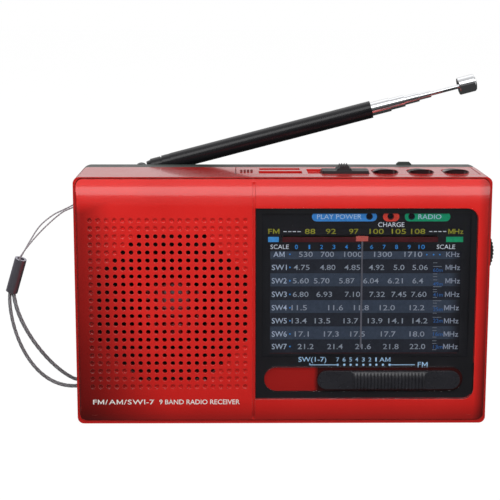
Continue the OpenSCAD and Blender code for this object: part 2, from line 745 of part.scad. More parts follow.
// ---- loudspeaker ----
// half sections: radius, y
basket_profile = [
    [21.2, -17.25], [25.9, -17.25], [25.9, -16.5], [24, -16.5], [13.2, -8],
    [0, -8], [0, -8.8], [12.4, -8.8], [21.2, -15.8]
];
cone_profile = [
    [25.4, -17.75], [25.4, -17.3], [21.1, -17.3], [20.8, -16.9], [5.2, -10.6], [5, -9.2],
    [4.6, -9.2], [4.6, -11.2], [21, -17.5], [22.6, -17.8], [24, -17.8]
];
dome_r = 24; // spherical radius of the dust cap

// turns a half section about the loudspeaker's axis
module speaker_turned() {
    translate([speaker_at[0], 0, speaker_at[1]]) rotate([-90, 0, 0])
        rotate_extrude($fn = 96) children();
}
module speaker_basket() centred() color([0.55, 0.56, 0.58]) difference() {
    speaker_turned() polygon(basket_profile);
    // four windows
    for (angle = [0:90:270]) translate([speaker_at[0], 0, speaker_at[1]]) rotate([0, angle, 0])
        box([14.6, 19.2], [-15, -6], [-6, 6]);
}
module speaker_cone() centred() color([0.16, 0.15, 0.15]) speaker_turned() polygon(cone_profile);
module speaker_dust_cap() centred() color(silver)
    translate([0, -17.3 + dome_r, 0]) speaker_turned() intersection() {
        difference() {
            circle(dome_r, $fn = 128);
            circle(dome_r - 0.3, $fn = 128);
        }
        translate([0, -dome_r - 1]) square([10.2, 4]);
    }
module speaker_magnet() centred() color([0.3, 0.3, 0.32]) {
    rod_y(speaker_at, 13.5, -8, -6.6);
    rod_y(speaker_at, 15.6, -6.7, -1.4);
    rod_y(speaker_at, 13.5, -1.5, 0);
}

// ---- fasteners and wiring ----
wire_r = 0.5;
// colour, points along the wire
wires = [
    // loudspeaker to main board
    [wire_red, [[-19.5, -3, 46], [-17, -3, 44], [-15.6, 0.2, 36], [-13.9, 0.2, 34]]],
    [wire_black, [[-19.5, -3, 42], [-17, -3, 40], [-15.6, 0.2, 32], [-13.9, 0.2, 30]]],
    // battery compartment to main board
    [wire_red, [[65.2, 18, 36], [66, 14.6, 36], [66, 8, 40], [65.4, 3.2, 40]]],
    [wire_black, [[65.2, 18, 31], [66, 14.6, 31], [66, 8, 33], [65.4, 3.2, 33]]],
    // aerial to main board
    [wire_white, [[pivot[0], 21.5, 65.4], [pivot[0], 16, 62], [-20, 13.5, 63], [-8, 3.4, 60]]]
];
module case_screws() centred() color(steel) for (p = rear_screws) difference() {
    union() {
        rod_y(p, 2.1, 15.02, 16.6);
        rod_y(p, 1, 4.6, 15.1);
    }
    // cross recess
    box(about(p[0], 1.3), [16.1, 17], about(p[1], 0.25));
    box(about(p[0], 0.25), [16.1, 17], about(p[1], 1.3));
}
// screw with its tip to the front and its head behind seat_y
module inner_screw(at, head_r, tip_y, seat_y, head_back) {
    rod_y(at, head_r, seat_y, head_back);
    rod_y(at, inner_shank_r, tip_y, seat_y + 0.1);
}
module inner_screws() centred() color(steel) {
    for (p = front_screws) inner_screw(p, 1.9, -17.4, -13.9, -12.8);
    for (p = speaker_screws) inner_screw(p, 3.2, -17.5, -16.5, -15.6);
    for (p = board_screws) inner_screw(p, 1.9, -5, board_back, 3.8);
    for (p = key_screws) {
        rod_z(p, 1.7, 71.2, 72.4);
        rod_z(p, inner_shank_r, 72.3, 78);
    }
}
module wiring() centred() for (wire = wires) color(wire[0]) bead_chain(wire[1], wire_r);

// ---- wrist strap ----
bead_top = [-90.8, 11, 51.8];
bead_bottom = [-94.6, 12.6, 39.7];
bead_lean = 13; // lean of the bead's two bores
// the two strands from the pin to the bead
thin_strands = [
    [[-68.3, 5, 73.6], [-71.4, 5.2, 71.5], [-74.6, 6, 70], [-78.6, 7, 67.9],
        [-83.4, 8.5, 63.9], [-87.2, 9.8, 58.4], bead_top + [0.4, 0, -0.3]],
    [[-68.2, 5, 73], [-71.2, 5.2, 70.9], [-75.1, 6, 69], [-79.4, 7, 65.6],
        [-83.9, 8.5, 61.2], [-87.9, 9.7, 56.6], bead_top + [-0.3, 0, -0.3]]
];
// Bezier control points of the wrist loop: outer strand, inner strand, lower turn
outer_strand = [[-95.3, 12.6, 39.3], [-96.6, 13, 27.7], [-90.2, 18.5, 2.3], [-73.5, 22.6, 2.3]];
inner_strand = [[-93.9, 12.5, 38.9], [-93.4, 13.7, 26.2], [-81.3, 17.9, 8.8], [-73.3, 22.4, 4.7]];
lower_turn = [[-73.5, 22.6, 2.3], [-66, 31, 1.4], [-66, 32, 4.4], [-73.3, 22.4, 4.7]];

function bezier(p, t) = let (u = 1 - t)
    u * u * u * p[0] + 3 * u * u * t * p[1] + 3 * u * t * t * p[2] + t * t * t * p[3];
function curve(controls, steps) = [for (i = [0:steps]) bezier(controls, i / steps)];

module rod_between(from, to, r) {
    run = to - from;
    length = norm(run);
    translate(from) rotate([0, acos(run[2] / length), atan2(run[1], run[0])])
        cylinder(r = r, h = length, $fn = 20);
}
module strap_pin() centred() color(chrome) rod_y(strap_pin_at, 0.6, 1.05, 8.95);
module strap_thin_cord() centred() color([0.7, 0.68, 0.72]) {
    // ring round the pin
    bead_chain([for (i = [0:8]) let (p = polar(strap_pin_at, 1.1, i * 45)) [p[0], 5, p[1]]],
        thin_cord_r);
    bead_chain(thin_strands[0], thin_cord_r);
    bead_chain(thin_strands[1], thin_cord_r);
}
module strap_bead() centred() color([0.62, 0.6, 0.66]) difference() {
    rod_between(bead_bottom, bead_top, 2.1);
    translate(bead_top) rotate([0, bead_lean, 0]) translate([0, 0, -2.2]) cylinder(r = 1.3, h = 4);
    translate(bead_bottom) rotate([0, bead_lean, 0]) translate([0, 0, -2]) cylinder(r = 1.9, h = 3.4);
}
module strap_cord() centred() color([0.55, 0.55, 0.56]) {
    bead_chain(curve(outer_strand, 8), thick_cord_r * 0.75);
    bead_chain(curve(inner_strand, 8), thick_cord_r);
    bead_chain(curve(lower_turn, 6), thick_cord_r * 0.9);
}

// ---- telescopic aerial ----
// distances from the tilt pin to the outer end of each section
end_2 = tube_end + ext_2;
end_3 = end_2 + ext_3;
end_4 = end_3 + ext_4;
end_5 = end_4 + ext_5;
cap_start = end_5 + ext_6;
section_2_d = 4.8;
section_3_d = 4.1;
section_4_d = 3.2;
section_5_d = 2.4;
tip_rod_d = 1.5;
tip_rod_length = 62; // as far as the cap
// collar at the inner end of each section
collar_h = 1.5;
collar_extra_d = 0.1;

// local Z runs along the aerial from the tilt pin
module along_aerial() { centred() translate(pivot) rotate([0, 90 - aerial_tilt, 0]) children(); }
module collared_rod(d, start, length) {
    translate([0, 0, start]) cylinder(d = d, h = length);
    translate([0, 0, start]) cylinder(d = d + collar_extra_d, h = collar_h);
}
// drawn tube: mouth crimped onto the next one, collar at the inner end
module drawn_tube(d, next_d, length, end) {
    start = end - length;
    difference() {
        collared_rod(d, start, length);
        translate([0, 0, start - 1]) cylinder(d = next_d + 0.2, h = length - 1);
        translate([0, 0, start - 1]) cylinder(d = next_d + 0.1, h = length + 2);
    }
}
module aerial_swivel() centred() color(chrome) difference() {
    union() {
        // turntable and spigot
        rod_z(pivot_xy, 3, channel_z + 0.05, 77.6);
        rod_z(pivot_xy, 1.5, 69.6, 77);
        // two cheeks
        for (side = [-1, 1]) translate([pivot[0], pivot[1] + side * 1.55, 0]) {
            box([-2.3, 2.3], [-0.55, 0.55], [77.5, pivot[2]]);
            rod_y([0, pivot[2]], 2.3, -0.55, 0.55);
        }
    }
    rod_y(pivot_xz, 0.82, 18, 28);
    rod_z(pivot_xy, 0.65, 69, 75);
}
module aerial_hinge_pin() centred() color(steel)
    rod_y(pivot_xz, 0.8, pivot[1] - 2.05, pivot[1] + 2.05);
module aerial_knuckle() along_aerial() color(chrome) difference() {
    union() {
        rotate([90, 0, 0]) translate([0, 0, -0.95]) cylinder(r = 2.1, h = 1.9);
        translate([-0.9, -0.9, 0]) cube([1.8, 1.8, 4]);
        translate([0, 0, 2.5]) cylinder(r1 = 2.3, r2 = 2.6, h = 1.6);
        translate([0, 0, 4]) cylinder(r = 2.85, h = 3.6);
        translate([0, 0, 7.5]) cylinder(r = 2.5, h = 0.55);
        // plug inside the base tube
        translate([0, 0, 8]) cylinder(d = section_2_d + 0.14, h = 4.9);
    }
    rotate([90, 0, 0]) translate([0, 0, -2]) cylinder(r = 0.85, h = 4);
}
module aerial_base_tube() along_aerial() color(black) difference() {
    union() {
        translate([0, 0, 8.1]) cylinder(d = tube_d - 0.15, h = 3.2);
        translate([0, 0, 11.2]) cylinder(d = tube_d, h = tube_end - 11.2);
    }
    translate([0, 0, 7]) cylinder(d = section_2_d + 0.2, h = tube_end - 9);
    translate([0, 0, 7]) cylinder(d = section_2_d + 0.1, h = tube_end);
}
module aerial_section_2() along_aerial() color(chrome) drawn_tube(section_2_d, section_3_d, 70, end_2);
module aerial_section_3() along_aerial() color(chrome) drawn_tube(section_3_d, section_4_d, 68, end_3);
module aerial_section_4() along_aerial() color(chrome) drawn_tube(section_4_d, section_5_d, 66, end_4);
module aerial_section_5() along_aerial() color(chrome) drawn_tube(section_5_d, tip_rod_d, 64, end_5);
// the rod runs 2 mm into the cap
module aerial_tip_rod() along_aerial() color(chrome)
    collared_rod(tip_rod_d, cap_start - tip_rod_length, tip_rod_length + 2);
module aerial_tip_cap() along_aerial() color(chrome) difference() {
    cap_r = 2.65;
    edge_r = 0.4;
    translate([0, 0, cap_start]) rotate_extrude() {
        square([cap_r, 5.9]);
        translate([0, edge_r]) square([cap_r + edge_r, 5.1]);
        translate([cap_r, edge_r]) circle(edge_r);
        translate([cap_r, 5.5]) circle(edge_r);
        // domed end
        intersection() {
            translate([0, -1.45]) circle(8);
            translate([0, 5.6]) square([cap_r, 2]);
        }
    }
    translate([0, 0, cap_start - 1]) cylinder(d = tip_rod_d + 0.06, h = 3.1);
}
module aerial_screw() centred() color(steel) {
    rod_z(pivot_xy, 2.5, 68.4, 69.6);
    rod_z(pivot_xy, 0.6, 69.5, 74.6);
}

front_cabinet();
middle_frame();
top_panel();
rear_cabinet();
battery_door();
battery_pack();
battery_contacts();
dial_window();
dial_plate();
tuning_pointer();
dial_cord();
cord_drum();
tuning_wheel();
tuning_axle();
tuning_capacitor();
volume_wheel();
volume_wheel_screw();
volume_control();
band_slider();
band_switch();
function_knob();
function_switch();
previous_button();
play_button();
next_button();
tact_switches();
key_board();
main_board();
board_components();
usb_socket();
card_socket();
indicator_leds();
ferrite_rod();
ferrite_coil();
speaker_basket();
speaker_cone();
speaker_dust_cap();
speaker_magnet();
jack_board();
earphone_jack();
charging_jack();
case_screws();
inner_screws();
wiring();
strap_pin();
strap_thin_cord();
strap_bead();
strap_cord();
aerial_swivel();
aerial_hinge_pin();
aerial_knuckle();
aerial_base_tube();
aerial_section_2();
aerial_section_3();
aerial_section_4();
aerial_section_5();
aerial_tip_rod();
aerial_tip_cap();
aerial_screw();
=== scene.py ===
"""A red pocket radio with a printed tuning dial, a folding aerial and a braided wrist strap.

Metres, +Z up. The radio stands on z = 0 with its front facing -Y and its width along X. The
strap hangs beyond the left (-X) side.
"""
import bpy, bmesh, functools, math
from mathutils import Vector, Matrix
from mathutils.geometry import delaunay_2d_cdt


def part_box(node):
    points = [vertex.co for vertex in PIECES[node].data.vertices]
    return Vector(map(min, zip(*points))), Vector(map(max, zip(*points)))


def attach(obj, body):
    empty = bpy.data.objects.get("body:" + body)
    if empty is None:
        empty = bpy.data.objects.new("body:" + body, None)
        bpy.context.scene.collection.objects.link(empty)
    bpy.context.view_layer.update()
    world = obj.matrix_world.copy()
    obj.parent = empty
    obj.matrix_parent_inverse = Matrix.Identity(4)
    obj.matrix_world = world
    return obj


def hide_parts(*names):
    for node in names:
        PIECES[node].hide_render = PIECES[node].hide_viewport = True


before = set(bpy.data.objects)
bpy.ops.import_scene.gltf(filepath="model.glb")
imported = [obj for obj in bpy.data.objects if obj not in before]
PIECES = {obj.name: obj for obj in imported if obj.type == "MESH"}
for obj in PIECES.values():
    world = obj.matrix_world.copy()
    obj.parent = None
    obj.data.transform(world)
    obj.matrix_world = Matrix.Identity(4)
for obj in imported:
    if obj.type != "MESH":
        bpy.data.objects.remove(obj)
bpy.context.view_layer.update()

MM = 0.001
BLACK = (0.0, 0.0, 0.0)
WHITE = (1, 1, 1, 1)

front_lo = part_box("front_cabinet")[0]
top_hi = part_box("top_panel")[1]
pointer_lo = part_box("tuning_pointer")[0]
plate_lo, plate_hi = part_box("dial_plate")
window_lo, window_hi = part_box("dial_window")


def plate_x(x):
    """Scene x of a point x mm from the dial plate's left edge."""
    return plate_lo.x + x * MM


def plate_z(z):
    """Scene z of a point z mm above the dial plate's lower edge."""
    return plate_lo.z + z * MM


# ---------------------------------------------------------------- node trees
def rgba(value):
    """Add alpha to a plain colour; sockets and RGBA pass through."""
    return (*value, 1.0) if isinstance(value, tuple) and len(value) == 3 else value


def tint(col, factor, lift=0.0):
    """A colour scaled and raised, held at or below 1."""
    return tuple(min(1, x * factor + lift) for x in col)


def srgb(*levels):
    """Linear colour from 0-255 display levels."""
    return tuple(x / 255 / 12.92 if x / 255 <= 0.04045 else ((x / 255 + 0.055) / 1.055) ** 2.4
                 for x in levels)


class Nodes:
    """The node tree of a material or world, with short calls for the nodes used here."""

    def __init__(self, owner, output="ShaderNodeOutputMaterial", coords="Object"):
        owner.use_nodes = True
        self.owner = owner
        self.tree = owner.node_tree
        self.tree.nodes.clear()
        self.output = self.tree.nodes.new(output)
        coord_node = self.tree.nodes.new("ShaderNodeTexCoord")
        self.position = coord_node.outputs[coords]
        self.uv = coord_node.outputs["UV"]

    def put(self, socket, value):
        if isinstance(value, bpy.types.NodeSocket):
            self.tree.links.new(value, socket)
        elif value is not None:
            socket.default_value = value

    def node(self, kind, inputs=None, **settings):
        new = self.tree.nodes.new(kind)
        for key, value in settings.items():
            setattr(new, key, value)
        for key, value in (inputs or {}).items():
            self.put(new.inputs[key], value)
        return new

    def math(self, op, a, b):
        return self.node("ShaderNodeMath", {0: a, 1: b, 2: 0.0}, operation=op).outputs[0]

    def plus(self, a, b):
        return self.math("ADD", a, b)

    def times(self, a, b):
        return self.math("MULTIPLY", a, b)

    def invert(self, value):
        return self.math("SUBTRACT", 1.0, value)

    def noise(self, scale, detail=3.0, rough=0.5, at=None):
        return self.node("ShaderNodeTexNoise", {"Vector": at or self.position, "Scale": scale,
                                                "Detail": detail, "Roughness": rough}).outputs["Fac"]

    def voronoi(self, scale, output):
        return self.node("ShaderNodeTexVoronoi", {"Vector": self.position, "Scale": scale},
                         feature="F1").outputs[output]

    def stretched(self, factors, at=None):
        return self.node("ShaderNodeVectorMath", {0: at or self.position, 1: factors},
                         operation="MULTIPLY").outputs[0]

    def ramp(self, value, start, end, low=0, high=1, smooth=False):
        """Map start..end of the value to low..high, held at both ends."""
        new = self.node("ShaderNodeMapRange", {"Value": value, "From Min": start, "From Max": end,
                                               "To Min": low, "To Max": high}, clamp=True)
        if smooth:
            new.interpolation_type = "SMOOTHSTEP"
        return new.outputs[0]

    def mix(self, factor, a, b):
        """Colour a at factor 0, b at factor 1."""
        return self.node("ShaderNodeMix", {0: factor, 6: rgba(a), 7: rgba(b)},
                         data_type="RGBA").outputs[2]

    def drift(self, noise, dark, light):
        """Colour wandering between dark and light with a noise."""
        return self.mix(self.ramp(noise, 0.3, 0.7), dark, light)

    def split(self, vector=None):
        return tuple(self.node("ShaderNodeSeparateXYZ", {0: vector or self.position}).outputs)

    def bevel(self, radius, samples=4):
        """Rounded-edge normal; the radius is in mm."""
        return self.node("ShaderNodeBevel", {"Radius": radius * MM}, samples=samples).outputs[0]

    def bump(self, height, depth, strength=1.0, normal=None):
        """Relief normal; the depth is in mm."""
        return self.node("ShaderNodeBump", {"Height": height, "Distance": depth * MM,
                                            "Strength": strength, "Normal": normal}).outputs[0]

    def edge_wear_and_highlight(self, radius, rub_scale, low, high):
        """Patchy mask along the edges, for edge wear and painted edge highlight; the radius is in mm.
        """
        geometry = self.node("ShaderNodeNewGeometry")
        dot = self.node("ShaderNodeVectorMath",
                        {0: self.bevel(radius), 1: geometry.outputs["Normal"]},
                        operation="DOT_PRODUCT").outputs["Value"]
        patches = self.noise(rub_scale, detail=3.0, rough=0.7)
        return self.times(self.ramp(dot, 0.995, 0.8),
                          self.ramp(patches, 0.42, 0.62, low=low, high=high))

    def bsdf(self, **inputs):
        return self.node("ShaderNodeBsdfPrincipled",
                         {key.replace("_", " "): rgba(value) for key, value in inputs.items()}
                         ).outputs[0]

    def emission(self, strength):
        return self.node("ShaderNodeEmission", {"Color": WHITE, "Strength": strength}).outputs[0]

    def mix_shader(self, factor, a, b):
        return self.node("ShaderNodeMixShader", {0: factor, 1: a, 2: b}).outputs[0]

    def finish(self, shader):
        self.tree.links.new(shader, self.output.inputs[0])
        return self.owner


def material(name):
    return Nodes(bpy.data.materials.new(name))


# ---------------------------------------------------------------- materials
def surf(name, col, rough, metallic=0.0, var=0.08, var_scale=70.0, rough_var=0.08,
         grain=(1800.0, 0.012), bevel=0.12, coat=0.0, coat_rough=0.04, spec=0.5,
         edge=0.25, edge_col=None, streak=None):
    """A moulded, painted or machined surface.

    var, var_scale: strength and noise scale of the colour drift; rough_var: gloss variation;
    grain: noise scale and depth in mm; bevel: edge radius in mm;
    edge, edge_col: strength and colour of lighter edges, edge wear that on the slider is raised into
    a painted edge highlight; streak: noise stretch along x, y, z.
    """
    g = material(name)
    fine = g.noise(grain[0], detail=3.0, rough=0.6)
    c = g.drift(g.noise(var_scale, detail=4.0, rough=0.55),
                tint(col, 1 - var), tint(col, 1 + var, 0.004 * var))
    round_normal = g.bevel(bevel) if bevel else None
    if edge and bevel:
        # Lighter edges: edge wear, and on some parts a painted edge highlight.
        wear = g.edge_wear_and_highlight(bevel * 1.6, rub_scale=420.0, low=0, high=edge)
        c = g.mix(wear, c, edge_col or tint(col, 1.8, 0.05))
    gloss_noise = g.noise(var_scale * 2.6, detail=4.0, rough=0.65)
    r = g.ramp(gloss_noise, 0.25, 0.75, low=max(0.02, rough - rough_var), high=rough + rough_var)
    if streak:
        lines = g.noise(1.0, detail=4.0, rough=0.6, at=g.stretched(streak))
        r = g.plus(r, g.ramp(lines, 0.3, 0.7, low=-0.06, high=0.08))
        fine = g.plus(g.times(fine, 0.4), g.times(lines, 0.6))
    return g.finish(g.bsdf(Base_Color=c, Roughness=r, Metallic=metallic,
                           Normal=g.bump(fine, grain[1], normal=round_normal),
                           Coat_Weight=coat, Coat_Roughness=coat_rough,
                           Specular_IOR_Level=spec, IOR=1.5))


RED_DARK = (0.78, 0.0165, 0.0130)
RED_LIGHT = (0.88, 0.0215, 0.0175)


def front_shading(g, c):
    """Painted shade on the front cabinet: parts of it darkened by position, in metres."""
    x, y, z = g.split()
    # Painted soft shadow from the left edge, narrowing upwards and absent at the top.
    width = g.ramp(z, 0.010, 0.075, low=0.034, high=0.013)
    lit = g.ramp(g.math("DIVIDE", g.plus(x, 0.0685), width), 0.0, 1.0, smooth=True)
    lit = g.math("MAXIMUM", lit, g.ramp(z, 0.072, 0.0765))
    left_tone = g.ramp(z, 0.0, 0.09, low=0.20, high=0.50)
    c = g.mix(g.invert(lit), c, g.mix(left_tone, BLACK, c))
    # Painted shade, darker towards the bottom; the inner mix, at factor 0, is black.
    c = g.mix(g.ramp(z, 0.004, 0.040, low=0.76), g.mix(0.0, BLACK, c), c)
    # Painted shade: a dark band down the right edge, strongest at the bottom.
    right = g.times(g.ramp(x, 0.0642, 0.0672), g.ramp(z, 0.010, 0.078, low=0.80, high=0.46))
    c = g.mix(right, c, (0.03, 0.003, 0.003))
    # Painted shadow on the faces set back around the slider, darker again towards +X.
    recess_shade = g.times(g.ramp(y, front_lo.y + 0.7 * MM, front_lo.y + 0.95 * MM, high=0.5),
                     g.ramp(x, -0.0085, -0.0080))
    recess_shade = g.times(recess_shade, g.times(g.ramp(z, 0.0108, 0.0112),
                                     g.ramp(z, 0.0216, 0.022, low=1, high=0)))
    c = g.mix(recess_shade, c, (0.02, 0.002, 0.002))
    # Darker painted shadow on those faces from x = 10.5 mm on, round the slider's travel.
    deep_shade = g.times(recess_shade, g.ramp(x, 0.0105, 0.0120, high=1.8))
    return g.mix(deep_shade, c, (0.010, 0.004, 0.004))


def red_paint(name, front):
    """Gloss red shell with orange peel, small flecks and lighter edges, rubbed wear that also paints
    a highlight round holes and dimples.
    """
    # Colour factor, below 1 for the middle frame and top panel as painted shade; edge radius in mm,
    # orange peel depth in mm, clear coat weight.
    shade_factor, radius, peel_depth, coat = (1.0, 0.28, 0.0020, 0.55) if front else (0.74, 0.2, 0.0014, 0.50)
    g = material(name)
    c = g.drift(g.noise(28.0, detail=4.0, rough=0.55), tint(RED_DARK, shade_factor), tint(RED_LIGHT, shade_factor))
    fleck = g.split(g.voronoi(5200.0, "Color"))[0]
    c = g.mix(g.ramp(fleck, 0.86, 1.0, high=0.10), c, (0.95, 0.10, 0.07))
    if front:
        c = front_shading(g, c)
    # Lighter edges: rubbed wear, and a painted highlight round the edges of holes and dimples.
    c = g.mix(g.edge_wear_and_highlight(0.26, rub_scale=380.0, low=0.12, high=0.45), c, (0.95, 0.20, 0.16))
    peel = g.noise(950.0, detail=2.0, rough=0.5)
    micro = g.noise(5200.0, detail=2.0, rough=0.6)
    height = g.plus(g.times(peel, 0.75), g.times(micro, 0.25))
    normal = g.bump(height, peel_depth, normal=g.bevel(radius, samples=6))
    r = g.ramp(g.noise(90.0, detail=5.0, rough=0.65), 0.25, 0.75, low=0.20, high=0.28)
    return g.finish(g.bsdf(Base_Color=c, Roughness=r, Normal=normal, Coat_Weight=coat,
                           Coat_Roughness=0.07, Coat_Normal=normal, Specular_IOR_Level=0.42))


def lens_mat():
    """Clear acrylic: mostly see-through, Fresnel sheen, faint rub marks in the gloss."""
    g = material("clear_lens")
    fresnel = g.node("ShaderNodeFresnel", {"IOR": 1.35}).outputs[0]
    rub = g.noise(1.0, detail=4.0, rough=0.7, at=g.stretched((260, 260, 2400)))
    normal = g.bump(g.noise(240.0, detail=2.0), 0.002, normal=g.bevel(0.18))
    gloss = g.node("ShaderNodeBsdfGlossy", {"Color": WHITE, "Normal": normal, "Roughness":
                                            g.ramp(rub, 0.35, 0.75, low=0.02, high=0.10)}).outputs[0]
    clear = g.node("ShaderNodeBsdfTransparent", {"Color": (0.93, 0.94, 0.96, 1)}).outputs[0]
    return g.finish(g.mix_shader(fresnel, clear, gloss))


def ink(name, levels, painted_glow, rough=0.45, fade=None):
    """Screen-printed ink of these display levels, with a fine mesh grain.

    painted_glow: emission strength, painted light that makes the ink shine though it is no lamp;
    fade: start x, end x and the colour it fades to.
    """
    col = srgb(*levels)
    g = material(name)
    c = g.drift(g.noise(900.0), tint(col, 0.86), tint(col, 1.08))
    if fade:
        start, end, fade_col = fade
        c = g.mix(g.ramp(g.split()[0], start, end, smooth=True), c, fade_col)
    normal = g.bump(g.voronoi(6500.0, "Distance"), 0.002)
    # Painted light: emission that makes the ink shine though it is no lamp.
    glowing = dict(Emission_Color=c, Emission_Strength=painted_glow) if painted_glow else {}
    r = g.ramp(g.noise(500.0), 0.3, 0.7, low=rough - 0.08, high=rough + 0.08)
    return g.finish(g.bsdf(Base_Color=c, Roughness=r, Normal=normal, Specular_IOR_Level=0.3,
                           **glowing))


def braid_mat(name, dark, light, sheen):
    """Braided cord: colour follows the mesh's "plait" height, darker where the strands dip as painted
    shade in the creases, with fibre grain and sheen.
    """
    g = material(name)
    plait = g.node("ShaderNodeAttribute", attribute_name="plait").outputs["Color"]
    fibre = g.noise(1.0, detail=4.0, rough=0.7, at=g.stretched((60.0, 5200.0, 1.0), g.uv))
    # Painted shade: dark in the creases between strands, light on their crowns.
    c = g.mix(g.ramp(g.split(plait)[0], 0.25, 1.0), dark, light)
    c = g.mix(g.ramp(fibre, 0.4, 0.75, high=0.45), c, tint(light, 1.35, 0.05))
    c = g.mix(g.ramp(g.noise(220.0), 0.45, 0.75, high=0.35), c, dark)
    return g.finish(g.bsdf(Base_Color=c, Roughness=0.72, Normal=g.bump(fibre, 0.02, strength=0.8),
                           Sheen_Weight=sheen, Sheen_Roughness=0.4, Specular_IOR_Level=0.25))


def chrome_mat(name, col, rough):
    """Polished metal with smudges and faint streaks."""
    g = material(name)
    c = g.drift(g.noise(160.0), tint(col, 0.92), col)
    smudge = g.noise(75.0, detail=5.0, rough=0.7)
    lines = g.noise(1.0, detail=4.0, rough=0.7, at=g.stretched((900, 900, 3000)))
    r = g.plus(g.ramp(smudge, 0.35, 0.75, low=rough * 0.6, high=rough * 2.0),
               g.ramp(lines, 0.4, 0.8, high=0.05))
    return g.finish(g.bsdf(Base_Color=c, Roughness=r, Metallic=1.0,
                           Normal=g.bump(lines, 0.0012, normal=g.bevel(0.10))))


# Material name: arguments of surf.
SURFACES = {
    "grey_shell": dict(col=srgb(64, 69, 66), rough=0.46, var=0.10, var_scale=60,
                       grain=(1500.0, 0.018), bevel=0.2, edge=0.15, spec=0.28),
    "black_gloss": dict(col=(0.008, 0.0075, 0.009), rough=0.14, var=0.2, rough_var=0.05,
                        grain=(900.0, 0.003), bevel=0.2, coat=0.4, coat_rough=0.05, edge=0.10),
    # The slider's light edges are a painted edge highlight as well as wear.
    "black_satin": dict(col=(0.022, 0.022, 0.027), rough=0.27, var=0.2, grain=(2400.0, 0.008),
                        bevel=0.14, edge=0.3, edge_col=(0.16, 0.16, 0.19)),
    "black_matte": dict(col=(0.020, 0.020, 0.022), rough=0.48, var=0.2, grain=(2200.0, 0.016),
                        edge=0.2),
    "plate_black": dict(col=(0.0165, 0.0160, 0.0195), rough=0.5, var=0.15, grain=(5200.0, 0.004),
                        bevel=0, edge=0),
    "needle_grey": dict(col=srgb(126, 124, 132), rough=0.38, grain=(2500.0, 0.006), bevel=0.05,
                        edge=0.1),
    "mark_red": dict(col=(0.16, 0.010, 0.009), rough=0.4, var=0.15, grain=(2500.0, 0.008),
                     bevel=0.05, edge=0.1),
    "coral": dict(col=srgb(250, 118, 104), rough=0.4, var=0.06, grain=(2500.0, 0.006),
                  bevel=0.08, edge=0.1),
    "white_plastic": dict(col=(0.74, 0.73, 0.68), rough=0.42, var=0.05, edge=0.1),
    "steel": dict(col=(0.52, 0.52, 0.54), rough=0.28, metallic=1.0, grain=(2600.0, 0.006),
                  bevel=0.1, streak=(300, 300, 4000), edge=0.15),
    "brass": dict(col=(0.72, 0.50, 0.20), rough=0.28, metallic=1.0, var=0.12, bevel=0.1, edge=0.1),
    "board": dict(col=(0.016, 0.115, 0.040), rough=0.38, var=0.25, var_scale=400,
                  grain=(1400.0, 0.02), bevel=0.08, edge=0.3, edge_col=(0.55, 0.47, 0.25)),
    "component": dict(col=(0.05, 0.05, 0.055), rough=0.45, var=0.2, bevel=0.1),
    "battery_wrap": dict(col=(0.02, 0.07, 0.30), rough=0.22, var=0.12, coat=0.3,
                         grain=(500.0, 0.03), bevel=0.25),
    "ferrite": dict(col=(0.035, 0.035, 0.038), rough=0.6, var=0.3, grain=(1800.0, 0.05),
                    bevel=0.2, edge=0.35),
    "copper_wire": dict(col=(0.62, 0.22, 0.08), rough=0.3, metallic=1.0, var=0.12,
                        streak=(5000, 40, 40), bevel=0.06),
    "speaker_frame": dict(col=(0.020, 0.020, 0.022), rough=0.42, var=0.1, bevel=0.15),
    "speaker_paper": dict(col=(0.014, 0.013, 0.013), rough=0.85, var=0.4, var_scale=500,
                          grain=(2600.0, 0.05), bevel=0, edge=0, spec=0.2),
    "dust_cap": dict(col=(0.50, 0.50, 0.52), rough=0.22, metallic=1.0, var=0.06,
                     grain=(1200.0, 0.004), bevel=0, edge=0),
    "magnet": dict(col=(0.10, 0.10, 0.105), rough=0.5, metallic=0.6, var=0.2,
                   grain=(1600.0, 0.03), bevel=0.25),
    "wire_cover": dict(col=(0.42, 0.03, 0.03), rough=0.4, var=0.15, bevel=0, edge=0),
    "led_lens": dict(col=(0.016, 0.013, 0.018), rough=0.12, var=0.1, coat=0.5,
                     grain=(500.0, 0.002), bevel=0.1, edge=0.05),
    "dial_cord": dict(col=(0.62, 0.55, 0.38), rough=0.7, var=0.2, grain=(4200.0, 0.03),
                      bevel=0, edge=0),
    "strap_bead": dict(col=(0.36, 0.345, 0.40), rough=0.34, metallic=0.85, grain=(2600.0, 0.006),
                       bevel=0.2, streak=(3000, 3000, 120), edge=0.3, edge_col=(0.75, 0.74, 0.80)),
    "tube_black": dict(col=(0.008, 0.008, 0.010), rough=0.26, var=0.15, rough_var=0.05,
                       grain=(1400.0, 0.004), coat=0.12, coat_rough=0.06, edge=0.12, spec=0.35),
}
MATERIALS = {
    "red_front": red_paint("red_front", front=True),
    "red_gloss": red_paint("red_gloss", front=False),
    "clear_lens": lens_mat(),
    "chrome": chrome_mat("chrome", col=(0.82, 0.83, 0.85), rough=0.07),
    "chrome_dark": chrome_mat("chrome_dark", col=(0.16, 0.165, 0.18), rough=0.16),
    **{name: surf(name, **look) for name, look in SURFACES.items()},
}
